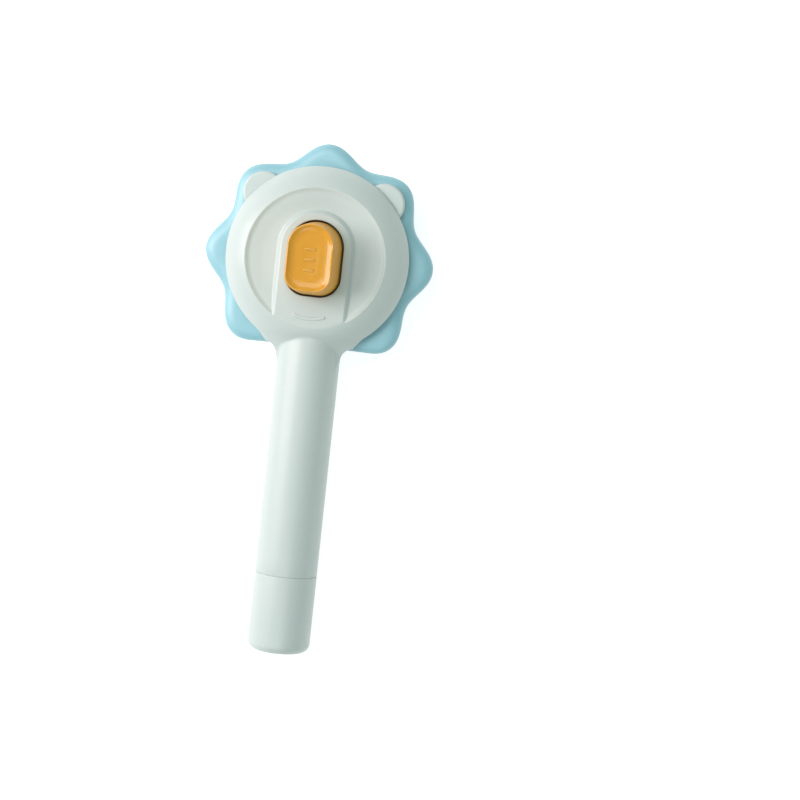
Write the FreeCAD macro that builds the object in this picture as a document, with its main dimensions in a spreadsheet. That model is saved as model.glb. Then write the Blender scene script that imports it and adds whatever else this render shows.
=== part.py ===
import FreeCAD, Part
import math
import os
import Sketcher

# A push-button pet grooming brush. The thumb button on the back drives a scalloped plate down over steel pins
# and so pushes the collected hair off them.
# Frame: the origin lies on the ground under the middle of the brush. +Y runs from the handle to the head, +X to
# the right and +Z up out of the back, through the thumb button. The pin tips touch the ground, at Z = 0.

Vector = FreeCAD.Vector
Rotation = FreeCAD.Rotation

doc = FreeCAD.newDocument("grooming_brush")
sheet = doc.addObject("Spreadsheet::Sheet", "Sizes")

# ---- driving dimensions, in millimetres -------------------------------------------------------------------

DIMENSIONS = {
    # overall
    "overall_length": 200.0,
    "wall": 2.0,
    # handle, a plain tube on a horizontal axis
    "grip_radius": 12.3,
    "grip_height": 14.3,
    "cap_length": 30.8,
    "cap_end_round": 3.5,
    "seam_chamfer": 0.3,
    "spigot_length": 12.0,
    "spigot_wall": 1.8,
    "seal_section": 0.62,
    "groove_setback": 3.72,
    "groove_width": 1.612,
    "neck_round": 9.5,
    "neck_half_width": 17.6,
    "neck_length": 6.2,
    "neck_bite": 2.1,
    "neck_shoulder": 2.1,
    "neck_reach": 12.5,
    "flare_lift": 0.1,
    "flare_fit": 0.3,
    # back of the head, turned about the head's axis
    "rim_radius": 35.75,
    "rim_round": 0.9,
    "rim_edge_radius": 1.08,
    "flank_width": 8.55,
    "split_height": 20.4,
    "ring_height": 28.7,
    "flank_bulge_radius": 22.0,
    "recess_depth": 1.2,
    "recess_slope": 0.6,
    "head_wall": 1.8,
    # raised arch round the button
    "arch_height": 1.5,
    "arch_half_width": 14.9,
    "arch_shoulder_radius": 14.4,
    "arch_crown_radius": 15.5,
    "arch_front": 18.65,
    "arch_back": 29.5,
    "arch_bevel": 1.4,
    "arch_bevel_width": 1.4,
    "rib_half_width": 6.4,
    "rib_width": 1.7,
    "rib_rise": 0.5,
    "rib_offset": 23.25,
    "rib_curve_radius": 16.0,
    "rib_shift": 0.51,
    "rib_end_radius": 1.02,
    # scalloped ejector plate
    "scallop_margin": 6.25,
    "scallop_wave": 2.85,
    "plate_height": 12.0,
    "plate_thickness": 5.5,
    "plate_wall": 1.4,
    "plate_edge_round": 1.8,
    "plate_back_round": 3.2,
    "neck_gap": 0.75,
    "tub_gap": 0.6,
    # front shell
    "tub_inset": 2.95,
    "tub_wall": 1.6,
    "opening_gap": 0.7,
    "ring_drop": 2.4,
    "front_ring_inset": 0.55,
    "ear_radius": 8.0,
    "ear_inset": 2.35,
    "ear_round": 0.9,
    "lip_height": 1.0,
    "lip_wall": 1.2,
    # pins
    "base_gap": 0.4,
    "base_thickness": 2.0,
    "pin_radius": 0.45,
    "pin_ball_radius": 0.8,
    "pin_seat_depth": 1.7,
    "pin_ball_foot": 1.464,
    "pin_first_circle": 6.0,
    "pin_circle_step": 5.6,
    "plate_hole_radius": 1.25,
    # button
    "button_half_width": 10.5,
    "button_half_length": 14.15,
    "button_front_round": 10.4,
    "button_back_round": 6.6,
    "button_gap": 0.6,
    "button_rise": 17.3,
    "button_draft": 3.6,
    "button_wall": 1.5,
    "button_top_round": 0.7,
    "dish_depth": 0.8,
    "dish_rim": 0.8,
    "ridge_length": 4.3,
    "ridge_width": 1.4,
    "ridge_rise": 0.5,
    "ridge_pitch": 3.95,
    "ridge_shift": -0.8,
    "skirt_margin": 0.3,
    "weld_depth": 0.2,
    "press_travel": 8.0,
    # carrier and guide rods
    "carrier_thickness": 1.4,
    "carrier_gap": 0.2,
    "carrier_lap": 2.4,
    "carrier_corner": 5.0,
    "carrier_hole_gap": 0.6,
    "rod_pad_radius": 3.3,
    "rod_radius": 2.0,
    "rod_steps": 2.5,
    "rod_thread_depth": 4.2,
    # spring and its guide
    "guide_radius": 6.2,
    "guide_wall": 1.0,
    "guide_length": 18.0,
    "guide_flange": 1.8,
    "guide_floor": 1.2,
    "guide_boss_wall": 1.2,
    "guide_boss_height": 3.5,
    "spring_wire_radius": 0.45,
    "spring_gap": 0.45,
    "spring_turns": 8.0,
    # fasteners
    "screw_radius": 1.0,
    "screw_head_radius": 1.9,
    "screw_head_height": 0.9,
    "pan_head_height": 1.35,
    "screw_tip_radius": 0.6,
    "cross_half_width": 0.8,
    "cross_arm": 0.22,
    "cross_depth": 0.72,
    "base_screw_length": 6.0,
    "shell_screw_length": 7.0,
    "plate_screw_length": 5.0,
    "shell_screw_inset": 6.25,
    "base_screw_steps": 3.68,
    "button_screw_margin": 4.4,
    "boss_radius": 2.5,
    "boss_extra": 0.4,
    "base_boss_height": 5.5,
    "base_hole_depth": 5.0,
    "shell_hole_depth": 3.75,
    "button_boss_wall": 1.2,
    "button_hole_depth": 7.0,
    "head_clearance": 0.2,
    "column_radius": 3.2,
    # fits
    "running_fit": 0.1,
    "seat_fit": 0.02,
}


# A size is a number that remembers its own spreadsheet expression, so that what is worked out from the sheet's
# cells can be bound to them.
class Size:
    def __init__(self, number, text=None):
        self.number = float(number)
        self.text = text or repr(round(float(number), 9))

    def __add__(self, other):
        other = size(other)
        return Size(self.number + other.number, f"({self.text} + {other.text})")

    def __sub__(self, other):
        other = size(other)
        return Size(self.number - other.number, f"({self.text} - {other.text})")

    def __mul__(self, other):
        other = size(other)
        return Size(self.number * other.number, f"({self.text} * {other.text})")

    def __truediv__(self, other):
        other = size(other)
        return Size(self.number / other.number, f"({self.text} / {other.text})")

    def __neg__(self):
        return Size(-self.number, f"(0 - {self.text})")

    def __radd__(self, other):
        return size(other) + self

    def __rsub__(self, other):
        return size(other) - self

    __rmul__ = __mul__

    def __float__(self):
        return self.number


def size(thing):
    return thing if isinstance(thing, Size) else Size(thing)


def root(thing):
    return Size(math.sqrt(thing.number), f"sqrt({thing.text})")


class Cells:
    pass


# Fills the spreadsheet, one row per dimension, and gives each cell back as a named size.
def fill_sheet():
    cells = Cells()
    for row, (alias, number) in enumerate(DIMENSIONS.items(), start=1):
        sheet.set(f"A{row}", alias.replace("_", " "))
        sheet.set(f"B{row}", str(number))
        sheet.setAlias(f"B{row}", alias)
        setattr(cells, alias, Size(number, f"Sizes.{alias}"))
    doc.recompute()
    return cells


d = fill_sheet()

# ---- places worked out from the dimensions ----------------------------------------------------------------

SCALLOP_RADIUS = d.rim_radius + d.scallop_margin
HEAD_REACH = SCALLOP_RADIUS + d.scallop_wave
HEAD_Y = d.overall_length / 2 - HEAD_REACH
GRIP_END = HEAD_REACH - d.overall_length
SEAM = GRIP_END + d.cap_length
NECK_FACE = -d.rim_radius
BORE_RADIUS = d.grip_radius - d.wall

RECESS_Z = d.ring_height - d.recess_depth
ARCH_TOP = RECESS_Z + d.arch_height
CEILING = RECESS_Z - d.head_wall
RING_RADIUS = d.rim_radius - d.flank_width
CAVITY_RADIUS = d.rim_radius - d.head_wall
CARRIER_TOP = CEILING - d.carrier_gap
CARRIER_BOTTOM = CARRIER_TOP - d.carrier_thickness
BUTTON_TOP = ARCH_TOP + d.button_rise
BUTTON_CEILING = BUTTON_TOP - d.dish_depth - d.button_wall

PLATE_INNER = d.plate_height + d.plate_wall
PLATE_TOP = d.plate_height + d.plate_thickness
BASE_BOTTOM = PLATE_INNER + d.base_gap
BASE_TOP = BASE_BOTTOM + d.base_thickness
TUB_RADIUS = d.rim_radius - d.tub_inset
BASE_RADIUS = TUB_RADIUS - d.running_fit
PIN_TOP = BASE_BOTTOM + d.pin_seat_depth
TUB_FLOOR_TOP = BASE_TOP + d.tub_wall
RING_BOTTOM = d.split_height - d.ring_drop
FRONT_RING_RADIUS = d.rim_radius - d.front_ring_inset
ROD_CIRCLE = d.pin_first_circle + d.pin_circle_step * d.rod_steps
TUB_OPENING = ROD_CIRCLE + d.rod_pad_radius + d.opening_gap
BASE_SCREW_CIRCLE = d.pin_first_circle + d.pin_circle_step * d.base_screw_steps
SHELL_SCREW_CIRCLE = d.rim_radius - d.shell_screw_inset
BUTTON_SCREW_OFFSET = d.guide_radius + d.button_screw_margin
GUIDE_TOP = BASE_TOP + d.guide_length
GUIDE_FLANGE_RADIUS = d.guide_radius + d.guide_flange
SPRING_FOOT = BASE_TOP + d.guide_floor

DIAGONALS = (45, 135, 225, 315)
QUARTERS = (0, 90, 180, 270)
PIN_COUNTS = (6, 12, 20, 28, 32)
PIN_HALF_STEPS = (0, 0, 0, 0, 0.5)


# ---- helpers ----------------------------------------------------------------------------------------------

def bind(thing, path, value):
    thing.setExpression(path, size(value).text)


def place(thing, x=0, y=0, z=0):
    for axis, value in zip("xyz", (x, y, z)):
        bind(thing, f"Placement.Base.{axis}", value)
    return thing


# The point at a distance from the head's axis, in a direction counted from +X.
def polar(distance, degrees):
    angle = math.radians(degrees)
    return distance * math.cos(angle), distance * math.sin(angle)


def cylinder(name, radius, height, x=0, y=0, z=0, along_y=False):
    thing = doc.addObject("Part::Cylinder", name)
    bind(thing, "Radius", radius)
    bind(thing, "Height", height)
    if along_y:
        thing.Placement.Rotation = Rotation(Vector(1, 0, 0), -90)
    return place(thing, x, y, z)


# A box that is centred on X = 0.
def block(name, width, length, height, y=0, z=0):
    thing = doc.addObject("Part::Box", name)
    bind(thing, "Width", length)
    bind(thing, "Length", width)
    bind(thing, "Height", height)
    return place(thing, -width / 2, y, z)


def fuse(name, parts):
    thing = doc.addObject("Part::MultiFuse", name)
    thing.Shapes = parts
    return thing


def cut(name, base, tools):
    thing = doc.addObject("Part::Cut", name)
    thing.Base = base
    thing.Tool = tools[0] if len(tools) == 1 else fuse(name + "_tools", tools)
    return thing


# Fills a sketch with a closed outline. Each corner is (x, y) or (x, y, radius): with a radius, the edge that
# leaves the corner is an arc that bulges to the right of its direction, or to the left with a negative radius.
def draw_outline(sketch, corners):
    count = len(corners)
    for index, corner in enumerate(corners):
        start = Vector(float(corner[0]), float(corner[1]), 0)
        following = corners[(index + 1) % count]
        end = Vector(float(following[0]), float(following[1]), 0)
        if len(corner) == 2:
            sketch.addGeometry(Part.LineSegment(start, end), False)
            continue
        bulge = float(corner[2])
        chord = end - start
        rise = math.sqrt(max(bulge ** 2 - chord.Length ** 2 / 4, 0))
        left = Vector(-chord.y, chord.x, 0) / chord.Length
        centre = (start + end) / 2 + left * math.copysign(rise, bulge)
        angles = [math.atan2(point.y - centre.y, point.x - centre.x) for point in (start, end)]
        if bulge < 0:
            angles.reverse()
        circle = Part.Circle(centre, Vector(0, 0, 1), abs(bulge))
        sketch.addGeometry(Part.ArcOfCircle(circle, *angles), False)
    for index, corner in enumerate(corners):
        first = 2 if len(corner) == 3 and float(corner[2]) < 0 else 1
        following = (index + 1) % count
        flipped = len(corners[following]) == 3 and float(corners[following][2]) < 0
        sketch.addConstraint(Sketcher.Constraint("Coincident", index, 3 - first, following, 2 if flipped else 1))
        for kind, value in (("DistanceX", corner[0]), ("DistanceY", corner[1])):
            made = sketch.addConstraint(Sketcher.Constraint(kind, -1, 1, index, first, float(value)))
            bind(sketch, f"Constraints[{made}]", value)
        if len(corner) == 3:
            bulge = corner[2] if float(corner[2]) > 0 else -corner[2]
            made = sketch.addConstraint(Sketcher.Constraint("Radius", index, float(bulge)))
            bind(sketch, f"Constraints[{made}]", bulge)


# The corners of a rectangle that is centred on X = 0, with round corners at its front (+Y) and back.
def rounded_rectangle(half_width, front, back, front_round, back_round):
    return [
        (half_width, -back + back_round),
        (half_width, front - front_round, front_round),
        (half_width - front_round, front),
        (front_round - half_width, front, front_round),
        (-half_width, front - front_round),
        (-half_width, -back + back_round, back_round),
        (back_round - half_width, -back),
        (half_width - back_round, -back, back_round),
    ]


def free_sketch(name, corners, z=0):
    sketch = doc.addObject("Sketcher::SketchObject", name)
    draw_outline(sketch, corners)
    return place(sketch, 0, 0, z)


def prism(name, corners, z, height, taper=0):
    thing = doc.addObject("Part::Extrusion", name)
    thing.Base = free_sketch(name + "_outline", corners, z)
    thing.DirMode = "Custom"
    thing.Dir = Vector(0, 0, 1)
    thing.Solid = True
    bind(thing, "LengthFwd", height)
    bind(thing, "TaperAngle", taper)
    return thing


def make_body(label):
    body = doc.addObject("PartDesign::Body", label)
    body.Label = label
    return body


def body_sketch(body, name, role, corners):
    sketch = body.newObject("Sketcher::SketchObject", name)
    plane = next(item for item in body.Origin.OriginFeatures if item.Role == role)
    sketch.AttachmentSupport = [(plane, "")]
    sketch.MapMode = "FlatFace"
    draw_outline(sketch, corners)
    return sketch


# A body turned about the vertical axis, from corners given as (radius, height).
def turned(label, corners):
    body = make_body(label)
    sketch = body_sketch(body, label + "_profile", "XZ_Plane", corners)
    feature = body.newObject("PartDesign::Revolution", label + "_turning")
    feature.Profile = sketch
    feature.ReferenceAxis = (sketch, ["V_Axis"])
    feature.Angle = 360
    return body


# A body turned about the handle's axis, from corners given as (Y, radius).
def turned_along_handle(label, corners):
    body = make_body(label)
    sketch = body_sketch(body, label + "_profile", "YZ_Plane", corners)
    feature = body.newObject("PartDesign::Revolution", label + "_turning")
    feature.Profile = sketch
    feature.ReferenceAxis = (sketch, ["H_Axis"])
    feature.Angle = 360
    return place(body, 0, 0, d.grip_height)


# Rounds the edges of a finished feature that a test picks.
def rounded(name, base, radius, wanted):
    doc.recompute()
    picked = [number for number, edge in enumerate(base.Shape.Edges, start=1) if wanted(edge)]
    thing = doc.addObject("Part::Fillet", name)
    thing.Base = base
    thing.Edges = [(number, float(radius), float(radius)) for number in picked]
    return thing


# Separate copies of one body's shape, set down at a list of (x, y, z) places. Flipped ones point down.
def copies(name, source, spots, flipped=False):
    doc.recompute()
    turn = Rotation(Vector(1, 0, 0), 180 if flipped else 0)
    shapes = []
    for spot in spots:
        shape = source.Shape.copy()
        where = FreeCAD.Placement(Vector(*(float(value) for value in spot)), turn)
        shape.Placement = where.multiply(shape.Placement)
        shapes.append(shape)
    thing = doc.addObject("Part::Feature", name)
    thing.Shape = Part.makeCompound(shapes)
    return thing


# The finished sub-part: a piece is built about the head's axis and is moved to its place in the brush here.
def finish(label, thing, y=0, z=0):
    doc.recompute()
    if thing.TypeId == "Part::Feature":
        thing.Placement.Base = Vector(0, float(HEAD_Y + y), float(z))
    else:
        place(thing, 0, HEAD_Y + y, z)
    thing.Label = label
    finished[label] = thing


finished = {}

# ---- tool shapes that several pieces share ----------------------------------------------------------------


# The places of the pins of one ring, about the head's axis.
def ring_spots(ring):
    distance = d.pin_first_circle + d.pin_circle_step * ring
    step = 360 / PIN_COUNTS[ring]
    for index in range(PIN_COUNTS[ring]):
        yield polar(distance, (index + PIN_HALF_STEPS[ring]) * step)


def all_pin_spots():
    for ring in range(len(PIN_COUNTS)):
        yield from ring_spots(ring)


# Round holes of one size at every pin, as one cutting tool.
def pin_hole_tool(name, radius, z, height):
    shapes = []
    for x, y in all_pin_spots():
        spot = Vector(float(x), float(y), float(z))
        shapes.append(Part.makeCylinder(float(radius), float(height), spot))
    thing = doc.addObject("Part::Feature", name)
    thing.Shape = Part.makeCompound(shapes)
    return thing


# A screw with its head at the bottom and its tip up: countersunk, or with a pan head.
def screw(name, length, countersunk):
    corners = [(0, 0), (d.screw_head_radius, 0)]
    if countersunk:
        corners += [(d.screw_radius, d.screw_head_height)]
    else:
        corners += [(d.screw_head_radius, d.pan_head_height), (d.screw_radius, d.pan_head_height)]
    corners += [(d.screw_radius, length - d.screw_radius), (d.screw_tip_radius, length), (0, length)]
    body = turned(name, corners)
    slot_half, arm = d.cross_half_width, d.cross_arm
    cross = [
        (slot_half, -arm), (slot_half, arm), (arm, arm), (arm, slot_half), (-arm, slot_half), (-arm, arm),
        (-slot_half, arm), (-slot_half, -arm), (-arm, -arm), (-arm, -slot_half), (arm, -slot_half), (arm, -arm),
    ]
    sketch = body_sketch(body, name + "_cross", "XY_Plane", cross)
    recess = body.newObject("PartDesign::Pocket", name + "_recess")
    recess.Profile = sketch
    recess.Reversed = True
    bind(recess, "Length", d.cross_depth)
    doc.recompute()
    if recess.Shape.Volume >= body.Group[1].Shape.Volume:
        raise RuntimeError(f"{name} has no recess")
    body.Tip = recess
    return body


# The hole that a countersunk screw fills, from its head's face at z, pointing up or down.
def countersink(name, x, y, z, depth, down=False):
    cone = doc.addObject("Part::Cone", name + "_cone")
    bind(cone, "Radius1", (d.screw_radius if down else d.screw_head_radius) + d.seat_fit)
    bind(cone, "Radius2", (d.screw_head_radius if down else d.screw_radius) + d.seat_fit)
    bind(cone, "Height", d.screw_head_height)
    place(cone, x, y, z - d.screw_head_height if down else z)
    hole = cylinder(name + "_hole", d.screw_radius + d.seat_fit, depth, x, y, z - depth if down else z)
    return [cone, hole]


# ---- body shell: dome, neck and handle tube in one moulding -----------------------------------------------

# The arch's outline: straight sides, round shoulders and a flatter crown, each arc tangent to the next. An inset
# outline keeps the arcs' centres.
def arch_outline(inset):
    side = d.arch_half_width - inset
    shoulder = d.arch_shoulder_radius - inset
    crown = d.arch_crown_radius - inset
    centres_across = d.arch_half_width - d.arch_shoulder_radius
    centres_apart = d.arch_crown_radius - d.arch_shoulder_radius
    centres_up = root(centres_apart * centres_apart - centres_across * centres_across)
    spring_line = d.arch_front - d.arch_crown_radius + centres_up
    tangent_x = centres_across + shoulder * centres_across / centres_apart
    tangent_y = spring_line + shoulder * centres_up / centres_apart
    back = inset - d.arch_back
    return [
        (side, back),
        (side, spring_line, shoulder),
        (tangent_x, tangent_y, crown),
        (-tangent_x, tangent_y, shoulder),
        (-side, spring_line),
        (-side, back),
    ]


# The neck's flare: concave arcs that lead from the handle's sides out to the rim.
def neck_outline():
    foot_x = d.grip_radius - d.neck_bite
    foot_y = -d.rim_radius - d.neck_length
    shoulder_y = -d.rim_radius + d.neck_shoulder
    rim_x = d.neck_half_width + d.neck_length / 2
    rim_y = -root(d.rim_radius * d.rim_radius - rim_x * rim_x)
    return [
        (foot_x, foot_y, -d.neck_round),
        (d.neck_half_width, shoulder_y),
        (rim_x, rim_y),
        (-rim_x, rim_y),
        (-d.neck_half_width, shoulder_y, -d.neck_round),
        (-foot_x, foot_y),
    ]


def button_outline(grow):
    return rounded_rectangle(
        d.button_half_width + grow, d.button_half_length + grow, d.button_half_length + grow,
        d.button_front_round + grow, d.button_back_round + grow)


# A solid turned from the head's outer flank, up to the edge of its flat top, then by further corners.
def flank_solid(name, bottom, inset, top_corners):
    rim = d.rim_radius - inset
    return turned(name, [
        (0, bottom),
        (rim - d.rim_round, bottom, d.rim_edge_radius),
        (rim, bottom + d.rim_round, d.flank_bulge_radius),
    ] + top_corners)


def make_body_shell():
    dome = flank_solid("dome", d.split_height, 0, [
        (RING_RADIUS, d.ring_height),
        (RING_RADIUS - d.recess_slope, RECESS_Z),
        (0, RECESS_Z),
    ])
    crown = flank_solid("crown", d.split_height, 0, [
        (RING_RADIUS, d.ring_height),
        (RING_RADIUS - d.recess_slope, ARCH_TOP),
        (0, ARCH_TOP),
    ])

    def seam_edge(edge):
        return edge.Closed and abs(edge.BoundBox.YMax - float(SEAM)) < 0.01

    bar = cylinder("grip_bar", d.grip_radius, NECK_FACE - SEAM, 0, SEAM, d.grip_height, along_y=True)
    grip = rounded("grip", bar, d.seam_chamfer, seam_edge)
    neck_bar = cylinder("neck_bar", d.grip_radius, d.neck_reach, 0, NECK_FACE, d.grip_height, along_y=True)
    under = block("under_neck", d.grip_radius * 4, d.neck_reach * 2, d.split_height * 2, NECK_FACE, -d.split_height)
    neck = cut("neck", neck_bar, [under])
    flare = prism("flare", neck_outline(), RING_BOTTOM + d.flare_lift, d.split_height + d.rim_round - RING_BOTTOM)
    ring_clear = cylinder("ring_clear", FRONT_RING_RADIUS + d.flare_fit, d.split_height, 0, 0, 0)
    flare_cut = cut("flare_cut", flare, [ring_clear])
    arch = prism("arch", arch_outline(0), CEILING + d.head_wall / 2, ARCH_TOP - d.arch_bevel - CEILING
                 - d.head_wall / 2)
    bevel = doc.addObject("Part::Loft", "arch_bevel")
    bevel.Sections = [
        free_sketch("arch_foot", arch_outline(0), ARCH_TOP - d.arch_bevel),
        free_sketch("arch_head", arch_outline(d.arch_bevel_width), ARCH_TOP)]
    bevel.Solid = True
    bevel.Ruled = True
    raised = doc.addObject("Part::MultiCommon", "raised")
    raised.Shapes = [fuse("arch_solid", [arch, bevel]), crown]
    rib_y = d.rib_shift - d.rib_offset
    rib = prism("rib", [
        (-d.rib_half_width, rib_y, d.rib_curve_radius),
        (d.rib_half_width, rib_y, d.rib_end_radius),
        (d.rib_half_width, rib_y + d.rib_width, -(d.rib_curve_radius - d.rib_width)),
        (-d.rib_half_width, rib_y + d.rib_width, d.rib_end_radius),
    ], RECESS_Z, d.arch_height + d.rib_rise)

    outside = fuse("outside", [dome, grip, neck, flare_cut, raised, rib])
    cavity = turned("cavity", [
        (0, 0),
        (CAVITY_RADIUS, 0),
        (CAVITY_RADIUS, d.split_height + d.rim_round, d.flank_bulge_radius),
        (RING_RADIUS - d.head_wall / 2, CEILING),
        (0, CEILING),
    ])
    bore = cylinder("bore", BORE_RADIUS, NECK_FACE - d.wall - SEAM, 0, SEAM, d.grip_height, along_y=True)
    hollow = cut("hollow", outside, [cut("cavity_above", cavity, [
        block("below_split", d.rim_radius * 4, d.rim_radius * 4, d.split_height, -d.rim_radius * 2, 0)]), bore])
    boss_bars = [
        cylinder(f"dome_boss_{index}", d.boss_radius + d.boss_extra, CEILING + d.head_wall / 2 - d.split_height,
                 *polar(SHELL_SCREW_CIRCLE, angle), d.split_height)
        for index, angle in enumerate(DIAGONALS)]
    bosses = doc.addObject("Part::MultiCommon", "dome_bosses")
    bosses.Shapes = [fuse("boss_bars", boss_bars), crown]
    holes = [
        cylinder(f"dome_hole_{index}", d.screw_radius + d.seat_fit, d.shell_hole_depth,
                 *polar(SHELL_SCREW_CIRCLE, angle), d.split_height)
        for index, angle in enumerate(DIAGONALS)]
    button_hole = prism("button_hole", button_outline(d.button_gap), CEILING - 1, d.arch_height + 10)
    shell = cut("body_shell", fuse("shell_with_bosses", [hollow, bosses]), [button_hole] + holes)
    finish("body_shell", shell)


# ---- front shell, with the two ear lobes ------------------------------------------------------------------

def make_front_shell():
    inner = TUB_RADIUS - d.tub_wall
    lip = CAVITY_RADIUS - d.running_fit
    ring = turned("front_ring", [
        (TUB_OPENING, BASE_TOP),
        (TUB_RADIUS, BASE_TOP),
        (TUB_RADIUS, RING_BOTTOM),
        (FRONT_RING_RADIUS, RING_BOTTOM),
        (FRONT_RING_RADIUS, d.split_height),
        (lip, d.split_height),
        (lip, d.split_height + d.lip_height),
        (lip - d.lip_wall, d.split_height + d.lip_height),
        (lip - d.lip_wall, d.split_height),
        (inner, d.split_height),
        (inner, TUB_FLOOR_TOP),
        (TUB_OPENING, TUB_FLOOR_TOP),
    ])
    ears = []
    for name, angle in (("right", 45), ("left", 135)):
        lobe = cylinder(f"ear_{name}", d.ear_radius, d.ring_drop, *polar(d.rim_radius - d.ear_inset, angle), RING_BOTTOM)
        ears.append(rounded(f"ear_{name}_round", lobe, d.ear_round, lambda edge: edge.Length > 1 and edge.Closed))
    columns = [
        cylinder(f"column_{index}", d.column_radius, d.split_height - BASE_TOP,
                 *polar(SHELL_SCREW_CIRCLE, angle), BASE_TOP)
        for index, angle in enumerate(DIAGONALS)]
    bosses = [
        cylinder(f"base_boss_{index}", d.boss_radius, d.base_boss_height, *polar(BASE_SCREW_CIRCLE, angle), BASE_TOP)
        for index, angle in enumerate(QUARTERS)]
    tools = []
    for index, angle in enumerate(DIAGONALS):
        x, y = polar(SHELL_SCREW_CIRCLE, angle)
        tools.append(cylinder(f"column_hole_{index}", d.screw_radius + d.running_fit, d.split_height, x, y, BASE_TOP))
        tools.append(cylinder(f"counterbore_{index}", d.screw_head_radius + d.head_clearance,
                              d.pan_head_height + d.base_gap, x, y, BASE_TOP))
    for index, angle in enumerate(QUARTERS):
        x, y = polar(BASE_SCREW_CIRCLE, angle)
        tools.append(cylinder(f"base_boss_hole_{index}", d.screw_radius + d.seat_fit, d.base_hole_depth,
                              x, y, BASE_TOP))
    solid = fuse("front_solid", [ring] + ears + columns + bosses)
    finish("front_shell", cut("front_shell", solid, tools))


# ---- pin base and pins ------------------------------------------------------------------------------------

def make_pin_base():
    disc = cylinder("base_disc", BASE_RADIUS, d.base_thickness, 0, 0, BASE_BOTTOM)
    tools = [pin_hole_tool("pin_seats", d.pin_radius + d.seat_fit, BASE_BOTTOM, d.pin_seat_depth + d.seat_fit)]
    for index, angle in enumerate(DIAGONALS):
        x, y = polar(ROD_CIRCLE, angle)
        tools.append(cylinder(f"rod_hole_{index}", d.rod_radius + d.running_fit, d.base_thickness, x, y, BASE_BOTTOM))
    for index, angle in enumerate(QUARTERS):
        x, y = polar(BASE_SCREW_CIRCLE, angle)
        tools += countersink(f"base_screw_seat_{index}", x, y, BASE_BOTTOM, d.base_thickness)
    tools += countersink("guide_screw_seat", 0, 0, BASE_BOTTOM, d.base_thickness)
    finish("pin_base", cut("pin_base", disc, tools))


def make_pins():
    ball = d.pin_ball_radius
    blank = turned("pin_blank", [
        (0, 0, ball),
        (ball, ball, ball),
        (d.pin_radius, d.pin_ball_foot),
        (d.pin_radius, PIN_TOP),
        (0, PIN_TOP),
    ])
    inner = [(x, y, 0) for ring in (0, 1, 2) for x, y in ring_spots(ring)]
    outer = [(x, y, 0) for ring in (3, 4) for x, y in ring_spots(ring)]
    finish("inner_pins", copies("inner_pins", blank, inner))
    finish("outer_pins", copies("outer_pins", blank, outer))


# ---- ejector plate ----------------------------------------------------------------------------------------

# The scalloped outline is a wave round a circle: radius = scallop radius + wave * cos(8 * angle). It is cut
# straight on the handle's side.
def make_ejector_plate():
    points = []
    count = 160
    for index in range(count):
        angle = 2 * math.pi * index / count
        distance = float(SCALLOP_RADIUS) + float(d.scallop_wave) * math.cos(8 * angle)
        points.append(Vector(distance * math.cos(angle), distance * math.sin(angle), float(d.plate_height)))
    curve = Part.BSplineCurve()
    curve.interpolate(Points=points, PeriodicFlag=True)
    face = Part.Face(Part.Wire([curve.toShape()]))
    slab = face.extrude(Vector(0, 0, float(d.plate_thickness)))
    reach = 2 * float(SCALLOP_RADIUS)
    keep = Part.makeBox(2 * reach, 2 * reach, reach, Vector(-reach, -float(d.rim_radius - d.neck_gap), 0))
    blank = doc.addObject("Part::Feature", "plate_blank")
    blank.Shape = slab.common(keep)


    def edge_at(height):
        return lambda edge: edge.BoundBox.ZLength < 0.01 and abs(edge.BoundBox.ZMin - float(height)) < 0.01

    front = rounded("plate_front_round", blank, d.plate_edge_round, edge_at(d.plate_height))
    soft = rounded("plate_round", front, d.plate_back_round, edge_at(PLATE_TOP))
    tools = [
        cylinder("plate_cavity", TUB_RADIUS + d.tub_gap, d.plate_thickness, 0, 0, PLATE_INNER),
        pin_hole_tool("plate_holes", d.plate_hole_radius, d.plate_height - 1, d.plate_wall + 2)]
    for index, angle in enumerate(DIAGONALS):
        x, y = polar(ROD_CIRCLE, angle)
        tools += countersink(f"plate_screw_seat_{index}", x, y, d.plate_height, d.plate_wall)
    finish("ejector_plate", cut("ejector_plate", soft, tools))


# ---- button, carrier and guide rods -----------------------------------------------------------------------

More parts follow.
